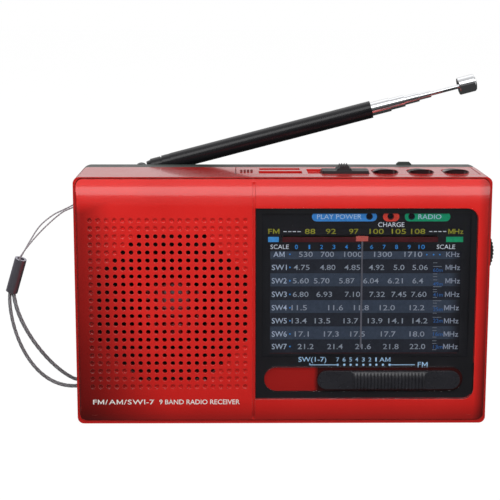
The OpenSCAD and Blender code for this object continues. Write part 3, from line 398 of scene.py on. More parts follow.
# Material: the CAD pieces that wear it.
WORN_BY = {
    "red_front": "front_cabinet",
    "red_gloss": "middle_frame top_panel",
    "grey_shell": "rear_cabinet battery_door",
    "battery_wrap": "battery_pack",
    "brass": "battery_contacts",
    "clear_lens": "dial_window",
    "plate_black": "dial_plate",
    "coral": "tuning_pointer",
    "dial_cord": "dial_cord",
    "white_plastic": "cord_drum tuning_capacitor",
    "black_matte": "tuning_wheel volume_wheel function_knob earphone_jack",
    "black_satin": "band_slider",
    "black_gloss": "previous_button play_button next_button",
    "steel": "tuning_axle volume_wheel_screw band_switch function_switch usb_socket card_socket "
             "charging_jack case_screws inner_screws aerial_hinge_pin aerial_screw",
    "board": "key_board main_board jack_board",
    "led_lens": "indicator_leds",
    "ferrite": "ferrite_rod",
    "copper_wire": "ferrite_coil",
    "speaker_frame": "speaker_basket",
    "speaker_paper": "speaker_cone",
    "dust_cap": "speaker_dust_cap",
    "magnet": "speaker_magnet",
    "wire_cover": "wiring",
    "strap_bead": "strap_bead",
    "chrome_dark": "aerial_swivel",
    "tube_black": "aerial_knuckle aerial_base_tube",
    "chrome": "strap_pin aerial_section_2 aerial_section_3 aerial_section_4 aerial_section_5 "
              "aerial_tip_rod aerial_tip_cap",
}
PIECE_MATERIAL = {piece: name for name, pieces in WORN_BY.items() for piece in pieces.split()}


# ---------------------------------------------------------------- CAD pieces
def smooth_cad(o, angle=32.0):
    """Smooth shading that keeps edges sharper than the angle, without moving vertices."""
    if "custom_normal" in o.data.attributes:
        o.data.attributes.remove(o.data.attributes["custom_normal"])
    for face in o.data.polygons:
        face.use_smooth = True
    weld = o.modifiers.new("weld", "WELD")
    weld.merge_threshold = 2e-7
    split = o.modifiers.new("split", "EDGE_SPLIT")
    split.split_angle = math.radians(angle)
    split.use_edge_sharp = False
    weighted = o.modifiers.new("weighted", "WEIGHTED_NORMAL")
    weighted.weight = 50
    weighted.keep_sharp = False


def paint_faces(piece, name, test):
    """Give the faces whose centre passes the test a second material."""
    o = PIECES[piece]
    o.data.materials.append(MATERIALS[name])
    slot_index = len(o.data.materials) - 1
    for face in o.data.polygons:
        if test(o.matrix_world @ face.center):
            face.material_index = slot_index


for name, o in PIECES.items():
    o.data.materials.clear()
    o.data.materials.append(MATERIALS[PIECE_MATERIAL.get(name, "component")])
    smooth_cad(o)
paint_faces("tuning_pointer", "needle_grey", lambda c: c.z < pointer_lo.z + 35.8 * MM)
paint_faces("top_panel", "mark_red", lambda c: c.z > top_hi.z - 0.24 * MM and c.x < -0.009)


# ---------------------------------------------------------------- mesh helpers
def new_obj(name, bm, mat, body, smooth=False):
    mesh = bpy.data.meshes.new(name)
    bm.normal_update()
    bm.to_mesh(mesh)
    bm.free()
    for face in mesh.polygons:
        face.use_smooth = smooth
    mesh.materials.append(mat)
    o = bpy.data.objects.new(name, mesh)
    bpy.context.scene.collection.objects.link(o)
    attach(o, body)
    return o


def film(bm, points, y, thick=0.012):
    """A closed film with this (x, z) outline, its front at y facing -Y; thick is in mm."""
    pairs = zip(points, points[1:] + points[:1])
    if sum(a[0] * b[1] - b[0] * a[1] for a, b in pairs) < 0:
        points = points[::-1]
    front = [bm.verts.new((x, y, z)) for x, z in points]
    back = [bm.verts.new((x, y + thick * MM, z)) for x, z in points]
    bm.faces.new(front)
    bm.faces.new(back[::-1])
    for i in range(len(points)):
        j = (i + 1) % len(points)
        bm.faces.new((front[j], front[i], back[i], back[j]))


def rect(x0, x1, z0, z1):
    return [(x0, z0), (x1, z0), (x1, z1), (x0, z1)]


def quarter(x, z, r, start, n=10):
    """A quarter circle of n steps, anticlockwise from start degrees."""
    angles = [math.radians(start + 90 * i / n) for i in range(n + 1)]
    return [(x + r * math.cos(a), z + r * math.sin(a)) for a in angles]


def pill(x0, x1, z0, z1, n=10):
    r = (z1 - z0) / 2
    return (quarter(x1 - r, z0 + r, r, -90, n) + quarter(x1 - r, z1 - r, r, 0, n)
            + quarter(x0 + r, z1 - r, r, 90, n) + quarter(x0 + r, z0 + r, r, 180, n))


def disc(x, z, r, n=20):
    angles = [2 * math.pi * i / n for i in range(n)]
    return [(x + r * math.cos(a), z + r * math.sin(a)) for a in angles]


@functools.lru_cache(maxsize=None)
def text_mesh(text, bold):
    """Vertices and faces of a text; bold is the outline offset."""
    curve = bpy.data.curves.new("t", "FONT")
    curve.body = text
    curve.size = 1.0
    curve.offset = bold
    curve.resolution_u = 3
    o = bpy.data.objects.new("t", curve)
    bpy.context.scene.collection.objects.link(o)
    bpy.context.view_layer.update()
    mesh = bpy.data.meshes.new_from_object(o.evaluated_get(bpy.context.evaluated_depsgraph_get()))
    bpy.data.objects.remove(o)
    return [tuple(v.co) for v in mesh.vertices], [tuple(p.vertices) for p in mesh.polygons]


def cap_height(bold):
    """Height of a capital and the level of its foot."""
    levels = [v[1] for v in text_mesh("H", bold)[0]]
    return max(levels) - min(levels), min(levels)


def letter_m(cap, base):
    """An M of two uprights and two diagonals."""
    stroke, width = 0.15 * cap, 0.92 * cap
    mid, inner = width / 2, width - stroke
    strokes = [
        [(0, 0), (stroke, 0), (stroke, 1), (0, 1)],
        [(inner, 0), (width, 0), (width, 1), (inner, 1)],
        [(stroke, 1), (stroke, 0.72), (mid, 0.02), (mid, 0.34)],
        [(mid, 0.34), (mid, 0.02), (inner, 0.72), (inner, 1)],
    ]
    verts = [(a, base + b * cap, 0.0) for quad in strokes for a, b in quad]
    return verts, [tuple(range(4 * i, 4 * i + 4)) for i in range(4)]


def lettering(text, bold):
    """The letters side by side; a text with an M is set letter by letter with its own M."""
    if "M" not in text:
        return text_mesh(text, bold)
    cap, base = cap_height(bold)
    verts, faces, pen = [], [], 0.0
    for char in text:
        if char == " ":
            pen += 0.34 * cap
            continue
        v, f = letter_m(cap, base) if char == "M" else text_mesh(char, bold)
        lo, hi = min(q[0] for q in v), max(q[0] for q in v)
        first = len(verts)
        verts += [(q[0] - lo + pen, q[1], 0.0) for q in v]
        faces += [tuple(i + first for i in face) for face in f]
        pen += hi - lo + 0.14 * cap
    return verts, faces


def write(bm, text, x, z, height, width, y, bold):
    """Text of this cap height and total width, centred at x, z in the XZ plane at y."""
    v, faces = lettering(text, bold)
    cap, base = cap_height(bold)
    lo, hi = min(p[0] for p in v), max(p[0] for p in v)
    scale_x, scale_z = width / (hi - lo), height / cap
    verts = [bm.verts.new((x + (p[0] - (lo + hi) / 2) * scale_x, y,
                           z + (p[1] - base - cap / 2) * scale_z)) for p in v]
    for face in faces:
        # Font outlines may repeat a face, which bmesh refuses.
        try:
            bm.faces.new([verts[i] for i in face])
        except ValueError:
            pass


# ---------------------------------------------------------------- dial printing
PLATE_INK_Y = plate_lo.y - 0.014 * MM     # on the front of the plate
RAISED_INK_Y = PLATE_INK_Y - 0.03 * MM    # over the colour bands
WINDOW_INK_Y = window_hi.y - 0.016 * MM   # at the back of the window
FRONT_INK_Y = front_lo.y - 0.012 * MM     # on the cabinet front

# Text, centre x, centre z, cap height, width (mm from the plate's lower left corner), ink.
# Texts below z = 0 are printed on the window.
PRINT = [
    ("FM", 5.61, 42.8, 1.67, 3.65, "olive"), ("88", 17.51, 42.79, 1.67, 3.39, "olive"),
    ("92", 24.36, 42.79, 1.67, 3.32, "olive"), ("97", 31.91, 42.78, 1.67, 3.09, "olive"),
    ("100", 39.42, 42.78, 1.67, 4.68, "olive"), ("105", 46.74, 42.77, 1.67, 4.71, "olive"),
    ("108", 53.1, 42.77, 1.67, 4.65, "olive"), ("MHz", 65.54, 42.76, 1.67, 4.95, "olive"),
    ("SCALE", 7.54, 37.66, 1.44, 6.03, "white"), ("SCALE", 62.39, 37.61, 1.44, 6.08, "white"),
    ("0", 13.06, 37.62, 1.37, 0.96, "blue"), ("1", 17.35, 37.61, 1.37, 0.53, "blue"),
    ("2", 21.37, 37.61, 1.37, 0.96, "blue"), ("3", 25.42, 37.61, 1.37, 0.96, "blue"),
    ("4", 29.55, 37.6, 1.37, 0.96, "blue"), ("5", 33.74, 37.6, 1.37, 0.96, "blue"),
    ("6", 37.89, 37.6, 1.37, 0.96, "blue"), ("7", 42.02, 37.59, 1.37, 0.96, "blue"),
    ("8", 46.11, 37.59, 1.37, 0.96, "blue"), ("9", 50.27, 37.59, 1.37, 0.96, "blue"),
    ("10", 54.39, 37.59, 1.37, 2.05, "blue"), ("AM", 7.33, 35.14, 1.78, 3.68, "label"),
    ("530", 16.19, 35.14, 1.71, 4.58, "row"), ("700", 23.29, 35.13, 1.71, 4.37, "row"),
    ("1000", 31.82, 35.12, 1.71, 5.95, "row"), ("1300", 41.69, 35.11, 1.71, 5.9, "row"),
    ("1710", 51.7, 35.11, 1.71, 5.9, "row"), ("KHz", 64.77, 35.09, 1.71, 4.43, "unit"),
    ("SW1", 7.46, 30.74, 1.78, 4.95, "label"), ("4.75", 14.83, 30.74, 1.72, 5.27, "row"),
    ("4.80", 23.45, 30.73, 1.72, 5.11, "row"), ("4.85", 31.57, 30.72, 1.72, 5.22, "row"),
    ("4.92", 39.61, 30.71, 1.72, 5.06, "row"), ("5.0", 47.05, 30.71, 1.72, 3.59, "row"),
    ("5.06", 54.04, 30.7, 1.72, 5.12, "row"), ("MHz", 64.87, 30.69, 1.72, 4.81, "unit"),
    ("SW2", 7.48, 26.23, 1.79, 4.96, "label"), ("5.60", 14.6, 26.22, 1.72, 5.28, "row"),
    ("5.70", 21.52, 26.21, 1.72, 5.17, "row"), ("5.87", 29.84, 26.2, 1.72, 5.12, "row"),
    ("6.04", 37.84, 26.19, 1.72, 5.07, "row"), ("6.21", 45.9, 26.18, 1.72, 5.02, "row"),
    ("6.4", 53.36, 26.18, 1.72, 3.54, "row"), ("MHz", 64.94, 26.16, 1.72, 4.81, "unit"),
    ("SW3", 7.5, 21.66, 1.8, 4.97, "label"), ("6.80", 14.59, 21.65, 1.73, 5.18, "row"),
    ("6.93", 22.41, 21.64, 1.73, 5.18, "row"), ("7.10", 31.78, 21.63, 1.73, 5.08, "row"),
    ("7.32", 39.96, 21.62, 1.73, 5.14, "row"), ("7.45", 47.18, 21.61, 1.73, 4.98, "row"),
    ("7.60", 53.81, 21.6, 1.73, 5.09, "row"), ("MHz", 64.91, 21.59, 1.73, 4.82, "unit"),
    ("SW4", 7.53, 17.11, 1.8, 4.98, "label"), ("11.5", 14.15, 17.1, 1.73, 5.09, "row"),
    ("11.6", 26.25, 17.08, 1.74, 4.93, "row"), ("11.8", 34.81, 17.07, 1.74, 4.98, "row"),
    ("12.0", 43.43, 17.06, 1.74, 5.04, "row"), ("12.2", 53.33, 17.05, 1.74, 4.88, "row"),
    ("MHz", 64.82, 17.04, 1.74, 4.83, "unit"), ("SW5", 7.55, 12.65, 1.81, 4.99, "label"),
    ("13.4", 14.18, 12.64, 1.74, 4.99, "row"), ("13.5", 21.93, 12.63, 1.74, 5.2, "row"),
    ("13.7", 31.38, 12.61, 1.74, 4.89, "row"), ("13.9", 39.45, 12.6, 1.74, 4.89, "row"),
    ("14.1", 46.26, 12.59, 1.74, 4.89, "row"), ("14.2", 54.41, 12.58, 1.74, 5.05, "row"),
    ("MHz", 64.84, 12.57, 1.74, 4.84, "unit"), ("SW6", 7.57, 8.13, 1.82, 5.0, "label"),
    ("17.1", 15.06, 8.12, 1.75, 4.68, "row"), ("17.3", 24.93, 8.11, 1.75, 4.95, "row"),
    ("17.5", 33.68, 8.09, 1.75, 4.9, "row"), ("17.7", 43.9, 8.08, 1.75, 4.9, "row"),
    ("18.0", 53.51, 8.06, 1.75, 4.95, "row"), ("MHz", 64.86, 8.05, 1.75, 4.85, "unit"),
    ("SW7", 7.59, 3.84, 1.82, 5.0, "label"), ("21.2", 16.38, 3.83, 1.75, 5.33, "row"),
    ("21.4", 26.18, 3.81, 1.75, 5.22, "row"), ("21.6", 35.56, 3.8, 1.75, 5.33, "row"),
    ("21.8", 44.83, 3.78, 1.75, 5.23, "row"), ("22.0", 53.74, 3.77, 1.75, 5.23, "row"),
    ("MHz", 64.81, 3.75, 1.76, 4.86, "unit"), ("60m", 59.95, 29.79, 1.25, 3.17, "blue2"),
    ("49m", 60.07, 25.1, 1.25, 3.18, "blue2"), ("41m", 60.17, 21.48, 1.26, 3.18, "blue2"),
    ("25m", 60.3, 16.49, 1.26, 3.19, "blue2"), ("22m", 60.4, 12.63, 1.26, 3.19, "blue2"),
    ("16m", 60.51, 8.04, 1.27, 3.2, "blue2"), ("13m", 60.63, 3.66, 1.27, 3.2, "blue2"),
    ("SW(1-7)", 18.64, -0.44, 1.62, 9.32, "legend"), ("7", 27.11, -0.49, 1.38, 0.97, "legend"),
    ("6", 29.25, -0.49, 1.38, 0.97, "legend"), ("5", 31.42, -0.5, 1.38, 0.97, "legend"),
    ("4", 33.46, -0.5, 1.38, 0.97, "legend"), ("3", 35.67, -0.51, 1.38, 0.97, "legend"),
    ("2", 37.88, -0.51, 1.38, 0.97, "legend"), ("1", 39.92, -0.51, 1.38, 0.5, "legend"),
    ("AM", 42.89, -0.52, 1.48, 3.68, "legend"), ("FM", 55.57, -2.16, 1.55, 3.32, "legend"),
    ("PLAY POWER", 27.09, 47.68, 1.53, 14.62, "pill"), ("RADIO", 56.84, 47.66, 1.56, 7.6, "pill"),
    ("CHARGE", 44.2, 45.04, 1.5, 8.65, "white"),
]
# The tables below are in the same mm frame. Lower and upper z of each colour band.
BANDS = [(33.5, 36.13), (28.95, 33.4), (24.34, 28.76), (19.86, 24.2),
         (15.31, 19.69), (10.85, 15.2), (6.29, 10.71), (1.75, 6.15)]
# Pills: ink, left x, right x, light centre x, ink of the ring round the light.
PILLS = [("pill_blue", 18.1, 39.45, 37.0, "dark_ring"), ("pill_red", 41.45, 46.8, 44.0, "led_red"),
         ("pill_green", 48.6, 63.6, 50.85, "dark_ring")]
# Small blue dots: x, z.
BLUE_DOTS = [(10.94, 35.14), (10.97, 30.74), (10.99, 26.22), (11.02, 21.65), (11.05, 17.1),
             (11.08, 12.64), (11.11, 8.13), (11.14, 3.84), (56.13, 35.0), (58.39, 35.0),
             (60.45, 35.0)]
# Heights of the short ticks at the right of the dial, and which of them are long.
TICKS = [32.26, 31.02, 28.5, 27.58, 26.5, 24.18, 23.21, 22.46, 20.56, 19.42,
         18.61, 17.58, 15.19, 13.77, 10.23, 9.25, 7.01, 5.75, 4.81, 2.67]
LONG_TICKS = (1, 5, 9, 13)
# Centre x of the dots under the slider legend, before DOT_SHIFT.
LEGEND_DOTS = [27.19, 29.43, 31.54, 33.58, 35.8, 38.08, 40.15, 42.33, 44.58]
DOT_SHIFT = -0.07
# Plain bars: ink, left x, right x, lower z, upper z.
PLATE_BARS = [("redline", 4.4, 67.0, 1.45, 1.66), ("track", 8.5, 59.75, 39.2, 40.95),
              ("sky", 3.7, 7.25, 39.25, 40.97), ("green", 62.4, 68.0, 39.2, 40.95)]
LEGEND_BARS = [("legend", 17.7, 27.1, -2.45, -2.2), ("legend", 17.65, 17.95, -2.42, -1.75),
               ("legend", 44.55, 52.95, -2.48, -2.22)]
FADE = (plate_x(63.0), plate_x(68.3))   # the bands fade out between these x

# Layer: its ink. The order is the order of the print objects.
INK = {
    # The emission strengths below are painted light on the inks, which are no lamps.
    "olive": ink("ink_olive", (168, 166, 52), painted_glow=0.25),
    "white": ink("ink_white", (226, 230, 236), painted_glow=0.30),
    "blue": ink("ink_blue", (60, 150, 232), painted_glow=0.30),
    "blue2": ink("ink_blue_dim", (58, 110, 175), painted_glow=0.2),
    "label": ink("ink_label", (192, 204, 220), painted_glow=0.24),
    "row": ink("ink_row", (168, 176, 186), painted_glow=0.20),
    "unit": ink("ink_unit", (168, 176, 190), painted_glow=0.20),
    "legend": ink("ink_legend", (170, 206, 236), painted_glow=0.30),
    "pill": ink("ink_pill_text", (186, 212, 232), painted_glow=0.25),
    "band_a": ink("ink_band_light", (70, 80, 96), painted_glow=0.12, rough=0.6,
                  fade=(*FADE, srgb(34, 33, 37))),
    "band_b": ink("ink_band_dark", (50, 53, 62), painted_glow=0.08, rough=0.6,
                  fade=(*FADE, srgb(32, 31, 35))),
    "pill_blue": ink("ink_pill_blue", (62, 142, 216), painted_glow=0.25),
    "pill_red": ink("ink_pill_red", (232, 74, 58), painted_glow=0.25),
    "pill_green": ink("ink_pill_green", (22, 160, 112), painted_glow=0.25),
    "track": ink("ink_track", (92, 33, 36), painted_glow=0.1),
    "sky": ink("ink_sky", (74, 160, 230), painted_glow=0.25),
    "green": ink("ink_green", (30, 165, 112), painted_glow=0.25),
    "redline": ink("ink_redline", (84, 42, 46), painted_glow=0.06),
    "tick": ink("ink_tick", (150, 156, 164), painted_glow=0.14),
    "mask": surf("lens_mask", col=(0.0165, 0.0158, 0.0190), rough=0.42, var=0.15,
                 grain=(5200.0, 0.003), bevel=0, edge=0),
    "face": ink("ink_face", (238, 232, 228), painted_glow=0.05, rough=0.4),
    "dark_ring": ink("ink_dark_ring", (26, 40, 66), painted_glow=0.0),
    "led_red": ink("ink_led_red", (120, 22, 20), painted_glow=0.0),
}
layers = {name: bmesh.new() for name in INK}


def print_bar(name, x0, x1, z0, z1, y=PLATE_INK_Y):
    film(layers[name], rect(plate_x(x0), plate_x(x1), plate_z(z0), plate_z(z1)), y)


def print_disc(name, x, z, r, y, n=20, thick=0.012):
    film(layers[name], disc(plate_x(x), plate_z(z), r * MM, n), y, thick)


def print_dial():
    """Everything on the plate, and the slider legend on the window."""
    for text, x, z, height, width, name in PRINT:
        write(layers[name], text, plate_x(x), plate_z(z), height * MM, width * MM,
              WINDOW_INK_Y if z < 0 else RAISED_INK_Y, bold=0.003)
    for i, (z0, z1) in enumerate(BANDS):
        print_bar("band_a" if i % 2 == 0 else "band_b", 4.5, 67.7, z0, z1)
    for bar in PLATE_BARS:
        print_bar(*bar)
    for name, x0, x1, light_x, ring in PILLS:
        film(layers[name], pill(plate_x(x0), plate_x(x1), plate_z(46.1), plate_z(49.2)),
             PLATE_INK_Y)
        print_disc(ring, light_x, 47.72, 1.12, PLATE_INK_Y - 0.014 * MM, thick=0.01)
        print_disc("mask", light_x, 47.72, 0.80, PLATE_INK_Y - 0.028 * MM, thick=0.01)
    for i in range(4):   # a dashed line at each end of the top scale
        for start, end in ((8.5, 14.7), (56.5, 62.6)):
            dash = (end - start) / 4
            print_bar("white", start + i * dash + 0.25, start + (i + 1) * dash - 0.25, 42.6, 42.86)
    for x, z in BLUE_DOTS:
        print_disc("blue", x, z, 0.26, RAISED_INK_Y, n=12)
    for i, z in enumerate(TICKS):
        extra = 1.5 if i in LONG_TICKS else 0.0
        lean = 0.02 * i
        print_bar("tick", 58.35 + lean, 59.7 + extra + lean, z - 0.08, z + 0.08, RAISED_INK_Y)
    for x in LEGEND_DOTS:
        print_disc("legend", x + DOT_SHIFT, -2.33, 0.40, WINDOW_INK_Y, n=14)
    for bar in LEGEND_BARS:
        print_bar(*bar, y=WINDOW_INK_Y)


def print_front():
    """The line of lettering low on the cabinet front."""
    # Text, centre x from the cabinet's left edge, width, in mm.
    for text, x, width in (("FM/AM/SW1-7", 14.8, 20.4), ("9 BAND RADIO RECEIVER", 40.2, 26.9)):
        write(layers["face"], text, front_lo.x + x * MM, 8.7 * MM, 1.62 * MM, width * MM,
              FRONT_INK_Y, bold=0.008)


def inside(points, x, z):
    """Even-odd test of a point against an outline."""
    hit = False
    for (ax, az), (bx, bz) in zip(points[-1:] + points[:-1], points):
        if (az > z) != (bz > z) and x < ax + (z - az) * (bx - ax) / (bz - az):
            hit = not hit
    return hit


def mask_sheet():
    """Black print at the back of the window, open over the dial and round the slider slot."""
    bm = layers["mask"]
    inset, r, gap = 0.12 * MM, 3.55 * MM, 0.06 * MM
    x0, x1 = window_lo.x + inset, window_hi.x - inset
    z0, z1 = window_lo.z + inset, window_hi.z - inset
    # Square corners on the left, round ones on the right.
    outer = ([(x0, z0)] + quarter(x1 - r, z0 + r, r, -90) + quarter(x1 - r, z1 - r, r, 0)
             + [(x0, z1)])
    opening = rect(plate_x(1.7), plate_x(70.5), plate_z(0.35), plate_hi.z - 1.3 * MM)
    slot = pill(-6.0 * MM - gap, 60.3 * MM + gap, 12.3 * MM - gap, 20.5 * MM + gap, n=12)
    flat, edges = [], []
    for points in (outer, opening, slot):
        first = len(flat)
        flat += [Vector((x / MM, z / MM)) for x, z in points]
        edges += [(first + i, first + (i + 1) % len(points)) for i in range(len(points))]
    result = delaunay_2d_cdt(flat, edges, [], 0, 1e-5)
    corners, triangles = result[0], result[2]
    verts = [bm.verts.new((q.x * MM, WINDOW_INK_Y + 0.012 * MM, q.y * MM)) for q in corners]
    for tri in triangles:
        x = sum(corners[i].x for i in tri) / len(tri) * MM
        z = sum(corners[i].y for i in tri) / len(tri) * MM
        if inside(outer, x, z) and not inside(opening, x, z) and not inside(slot, x, z):
            face = bm.faces.new([verts[i] for i in tri])
            face.normal_update()
            if face.normal.y > 0:
                face.normal_flip()
    loose = [v for v in bm.verts if not v.link_faces]
    bmesh.ops.delete(bm, geom=loose, context="VERTS")


print_dial()
print_front()
mask_sheet()
for name, bm in layers.items():
    new_obj("print_" + name, bm, INK[name], "cabinet")


# ---------------------------------------------------------------- braided wrist strap
def bezier(p, t):
    u = 1 - t
    return tuple(u * u * u * a + 3 * u * u * t * b + 3 * u * t * t * c + t * t * t * d
                 for a, b, c, d in zip(*p))


def catmull(points, n):
    """A smooth curve through the points, n steps to a span."""
    p = [Vector(q) for q in points]
    p = [2 * p[0] - p[1]] + p + [2 * p[-1] - p[-2]]
    out = []
    for a, b, c, d in zip(p, p[1:], p[2:], p[3:]):
        for k in range(n):
            t = k / n
            out.append(0.5 * ((2 * b) + (c - a) * t + (2 * a - 5 * b + 4 * c - d) * t * t
                              + (3 * b - a - 3 * c + d) * t * t * t))
    return out + [p[-2]]


def resample(points, step):
    """Points along the line at an even step."""
    out, carry = [Vector(points[0])], 0.0
    for a, b in zip(points, points[1:]):
        a, b = Vector(a), Vector(b)
        length = (b - a).length
        if length < 1e-9:
            continue
        along = step - carry
        while along <= length:
            out.append(a + (b - a) * (along / length))
            along += step
        carry = (carry + length) % step
    return out


def braid(name, points, half_a, half_b, mat, seg, step, plies, pitch, amp, twist=0.0):
    """A plaited cord swept along the points, its rings modulated by crossing strands.

    half_a, half_b: half widths; seg: points round a ring; step: ring spacing; pitch: plait
    length; amp: relief as a share of the half width; twist: turn in radians per metre.
    """
    path = resample(points, step)
    n = len(path)
    tangents = [(path[min(i + 1, n - 1)] - path[max(i - 1, 0)]).normalized() for i in range(n)]
    up = Vector((0, 1, 0))
    side = (up - tangents[0] * up.dot(tangents[0])).normalized()
    bm = bmesh.new()
    uv_layer = bm.loops.layers.uv.new("UVMap")
    rings, heights = [], []
    for i in range(n):
        side = (side - tangents[i] * side.dot(tangents[i])).normalized()
        across = tangents[i].cross(side)
        s = i * step
        ring = []
        for j in range(seg):
            a = 2 * math.pi * j / seg
            turn = math.pi * s / pitch
            strand_1 = abs(math.cos((plies * a + 2 * math.pi * s / pitch) / 2))
            strand_2 = abs(math.cos((plies * a - 2 * math.pi * s / pitch) / 2))
            over = math.sin(plies * a / 2 + turn) * math.sin(plies * a / 2 - turn) > 0
            height = (strand_1 if over else strand_2) ** 0.7
            relief = 1 - amp + amp * height
            angle = a + twist * s
            ring.append(bm.verts.new(path[i] + (side * (math.cos(angle) * half_a * relief)
                                                + across * (math.sin(angle) * half_b * relief))))
            heights.append(height)
        rings.append(ring)
    for i in range(n - 1):
        for j in range(seg):
            k = (j + 1) % seg
            face = bm.faces.new((rings[i][j], rings[i][k], rings[i + 1][k], rings[i + 1][j]))
            for loop, (u, v) in zip(face.loops, ((j, i), (j + 1, i), (j + 1, i + 1), (j, i + 1))):
                loop[uv_layer].uv = (u / seg, v * step / 0.01)
    bm.faces.new(rings[0][::-1])
    bm.faces.new(rings[-1])
    o = new_obj(name, bm, mat, "strap_body", smooth=True)
    # Strand height per vertex, which the braid material turns into painted crease shade.
    plait = o.data.attributes.new("plait", "FLOAT_COLOR", "POINT")
    plait.data.foreach_set("color", [v for h in heights for v in (h, h, h, 1.0)])
    return o


STRAP_SHIFT_Y = -3.0   # mm, added to every strap point
# Thick cord, Bezier control points x, y, z in mm: down, round the loop's end, and back up.
CORD_DOWN = [(-95.3, 12.6, 39.3), (-96.6, 13, 27.7), (-90.2, 18.5, 2.3), (-73.5, 22.6, 2.3)]
CORD_TURN = [(-73.5, 22.6, 2.3), (-66, 31, 1.4), (-66, 32, 4.4), (-73.3, 22.4, 4.7)]
CORD_UP = [(-73.3, 22.4, 4.7), (-81.3, 17.9, 8.8), (-93.4, 13.7, 26.2), (-93.9, 12.5, 38.9)]
CORD_START, CORD_END = (-94.95, 12.55, 41.0), (-94.25, 12.5, 40.6)
# Thin cord, x, y, z in mm: up to the pin, and back down.
THIN_UP = [(-91.2, 11.1, 51.2), (-90.6, 10.95, 52.6), (-87.2, 9.8, 58.4), (-83.4, 8.5, 63.9),
           (-78.6, 7.0, 67.9), (-74.6, 6.0, 70.0), (-71.4, 5.2, 71.7), (-68.6, 5.0, 73.3)]
THIN_DOWN = [(-68.4, 4.7, 72.6), (-71.2, 5.0, 71.0), (-75.1, 5.9, 69.1), (-79.4, 7.0, 65.6),
             (-83.9, 8.5, 61.2), (-87.9, 9.7, 56.6), (-90.9, 10.85, 52.6), (-91.3, 10.95, 51.2)]
PIN_X, PIN_Z, PIN_TURN_R = -67.2, 73.6, 1.12


def strap_point(x, y, z):
    return Vector((x * MM, (y + STRAP_SHIFT_Y) * MM, z * MM))


def thick_cord(mat):
    path = [CORD_START] + [bezier(CORD_DOWN, i / 60) for i in range(61)]
    path += [bezier(CORD_TURN, i / 60) for i in range(1, 61)]
    path += [bezier(CORD_UP, i / 60) for i in range(1, 61)] + [CORD_END]
    path = [strap_point(*q) for q in path]
    for _ in range(6):   # soften the joins between the curves
        path = [path[0]] + [(a + b * 2 + c) / 4 for a, b, c in zip(path, path[1:], path[2:])] \
            + [path[-1]]
    cord = braid("strap_braided_cord", path, half_a=0.82 * MM, half_b=0.62 * MM, mat=mat,
                 seg=28, step=0.16 * MM, plies=4, pitch=2.6 * MM, amp=0.16,
                 twist=28.0)
    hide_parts("strap_cord")


def thin_cord(mat):
    turn = [(PIN_X + PIN_TURN_R * math.cos(math.radians(a)), 5.0 - 0.3 * k / 8,
             PIN_Z + PIN_TURN_R * math.sin(math.radians(a)))
            for k, a in enumerate(range(150, -151, -37))]
    path = catmull([strap_point(*q) for q in THIN_UP + turn + THIN_DOWN], n=14)
    cord = braid("strap_thin_braid", path, half_a=0.26 * MM, half_b=0.26 * MM, mat=mat,
                 seg=14, step=0.12 * MM, plies=2, pitch=1.1 * MM, amp=0.22)
    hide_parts("strap_thin_cord")


thick_cord(braid_mat("strap_braid", dark=(0.045, 0.045, 0.050), light=(0.34, 0.34, 0.36),
                     sheen=0.4))
thin_cord(braid_mat("strap_fine_braid", dark=(0.20, 0.18, 0.20), light=(0.52, 0.48, 0.52),
                    sheen=0.3))


# ---------------------------------------------------------------- stage, light, camera
def floor_mat():
    """White to the camera, dim to diffuse bounces and dimmer still in reflections."""
    g = material("studio_floor")
    rays = g.node("ShaderNodeLightPath").outputs
    c = g.drift(g.noise(3.0), (0.93, 0.93, 0.93), (0.97, 0.97, 0.97))
    diffuse = g.node("ShaderNodeBsdfDiffuse", {"Color": c}).outputs[0]
    seen = g.mix_shader(0.90, diffuse, g.emission(strength=1.06))
    unseen = g.mix_shader(rays["Is Glossy Ray"], g.emission(strength=0.25),
                          g.emission(strength=0.05))
    return g.finish(g.mix_shader(rays["Is Camera Ray"], unseen, seen))


def studio_floor(n=24, half=6.0):
    """A square grid of n by n faces, half metres from centre to edge."""
    bm = bmesh.new()
    grid = [[bm.verts.new(((i / n - 0.5) * 2 * half, (j / n - 0.5) * 2 * half, 0.0))
             for j in range(n + 1)] for i in range(n + 1)]
    for i in range(n):
        for j in range(n):
            bm.faces.new((grid[i][j], grid[i + 1][j], grid[i + 1][j + 1], grid[i][j + 1]))
    mesh = bpy.data.meshes.new("studio_floor")
    bm.to_mesh(mesh)
    bm.free()
    mesh.materials.append(floor_mat())
    o = bpy.data.objects.new("studio_floor", mesh)
    bpy.context.scene.collection.objects.link(o)


def studio_world():
    """White to the camera; otherwise a dim room, brighter behind and overhead."""
    world = bpy.data.worlds.new("studio")
    bpy.context.scene.world = world
    g = Nodes(world, output="ShaderNodeOutputWorld", coords="Generated")
    x, y, z = g.split()
    rays = g.node("ShaderNodeLightPath").outputs
    above = g.ramp(z, -0.02, 0.05, smooth=True)
    behind = g.times(g.ramp(y, -0.1, 0.55, smooth=True), g.ramp(z, 0.10, 0.55, low=0.62))
    level = g.plus(g.times(behind, 0.80), 0.16)
    level = g.plus(g.times(level, above), g.times(g.invert(above), 0.05))
    overhead = g.times(g.ramp(z, 0.55, 0.9, high=0.55, smooth=True), rays["Is Glossy Ray"])
    level = g.math("MAXIMUM", g.plus(level, overhead), rays["Is Camera Ray"])
    g.finish(g.node("ShaderNodeBackground", {0: WHITE, 1: level}).outputs[0])


LIGHT_TARGET = Vector((0, -0.02, 0.05))


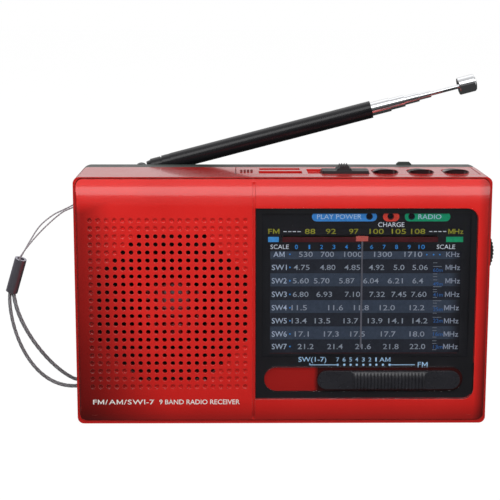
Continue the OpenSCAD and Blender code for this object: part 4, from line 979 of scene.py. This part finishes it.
def softbox(name, elev, azim, dist, width, height, radiance):
    """A rectangular light aimed at the target; azim is in degrees from -Y towards +X."""
    e, a = math.radians(elev), math.radians(azim)
    outward = Vector((math.sin(a) * math.cos(e), -math.cos(a) * math.cos(e), math.sin(e)))
    light = bpy.data.lights.new(name, "AREA")
    light.shape = "RECTANGLE"
    light.size, light.size_y = width, height
    light.energy = radiance * math.pi * width * height
    o = bpy.data.objects.new(name, light)
    o.location = LIGHT_TARGET + outward * dist
    o.rotation_mode = "QUATERNION"
    o.rotation_quaternion = (-outward).to_track_quat("-Z", "Y")
    bpy.context.scene.collection.objects.link(o)
    return o


def camera(location, lens, tilt, yaw, roll):
    """A camera looking along +Y, tilted down, turned about Z and rolled; angles in degrees."""
    data = bpy.data.cameras.new("camera")
    o = bpy.data.objects.new("camera", data)
    bpy.context.scene.collection.objects.link(o)
    data.sensor_width = 36.0
    data.sensor_fit = "HORIZONTAL"
    data.lens = lens
    data.clip_start = 0.01
    data.clip_end = 50.0
    tilt, yaw, roll = math.radians(tilt), math.radians(yaw), math.radians(roll)
    level = Vector((math.cos(yaw), math.sin(yaw), 0))
    ahead = Vector((-math.sin(yaw) * math.cos(tilt), math.cos(yaw) * math.cos(tilt),
                    -math.sin(tilt)))
    upright = level.cross(ahead)
    right = level * math.cos(roll) + upright * math.sin(roll)
    up = upright * math.cos(roll) - level * math.sin(roll)
    o.rotation_mode = "QUATERNION"
    o.rotation_quaternion = Matrix((right, up, -ahead)).transposed().to_quaternion()
    o.location = location
    bpy.context.scene.camera = o


studio_floor()
studio_world()
softbox("key_softbox", elev=43, azim=3, dist=1.6, width=2.6, height=0.80, radiance=2.35)
fill = softbox("fill_softbox", elev=24, azim=-4, dist=1.9, width=2.4, height=1.4, radiance=1.25)
fill.visible_glossy = False
softbox("side_softbox", elev=20, azim=78, dist=1.6, width=0.5, height=1.2, radiance=1.2)
camera(location=(-0.0158, -0.4667, 0.1416), lens=99.07, tilt=10.36, yaw=-0.64, roll=0.07)
bpy.context.scene.view_settings.view_transform = "Standard"
bpy.context.scene.view_settings.look = "None"
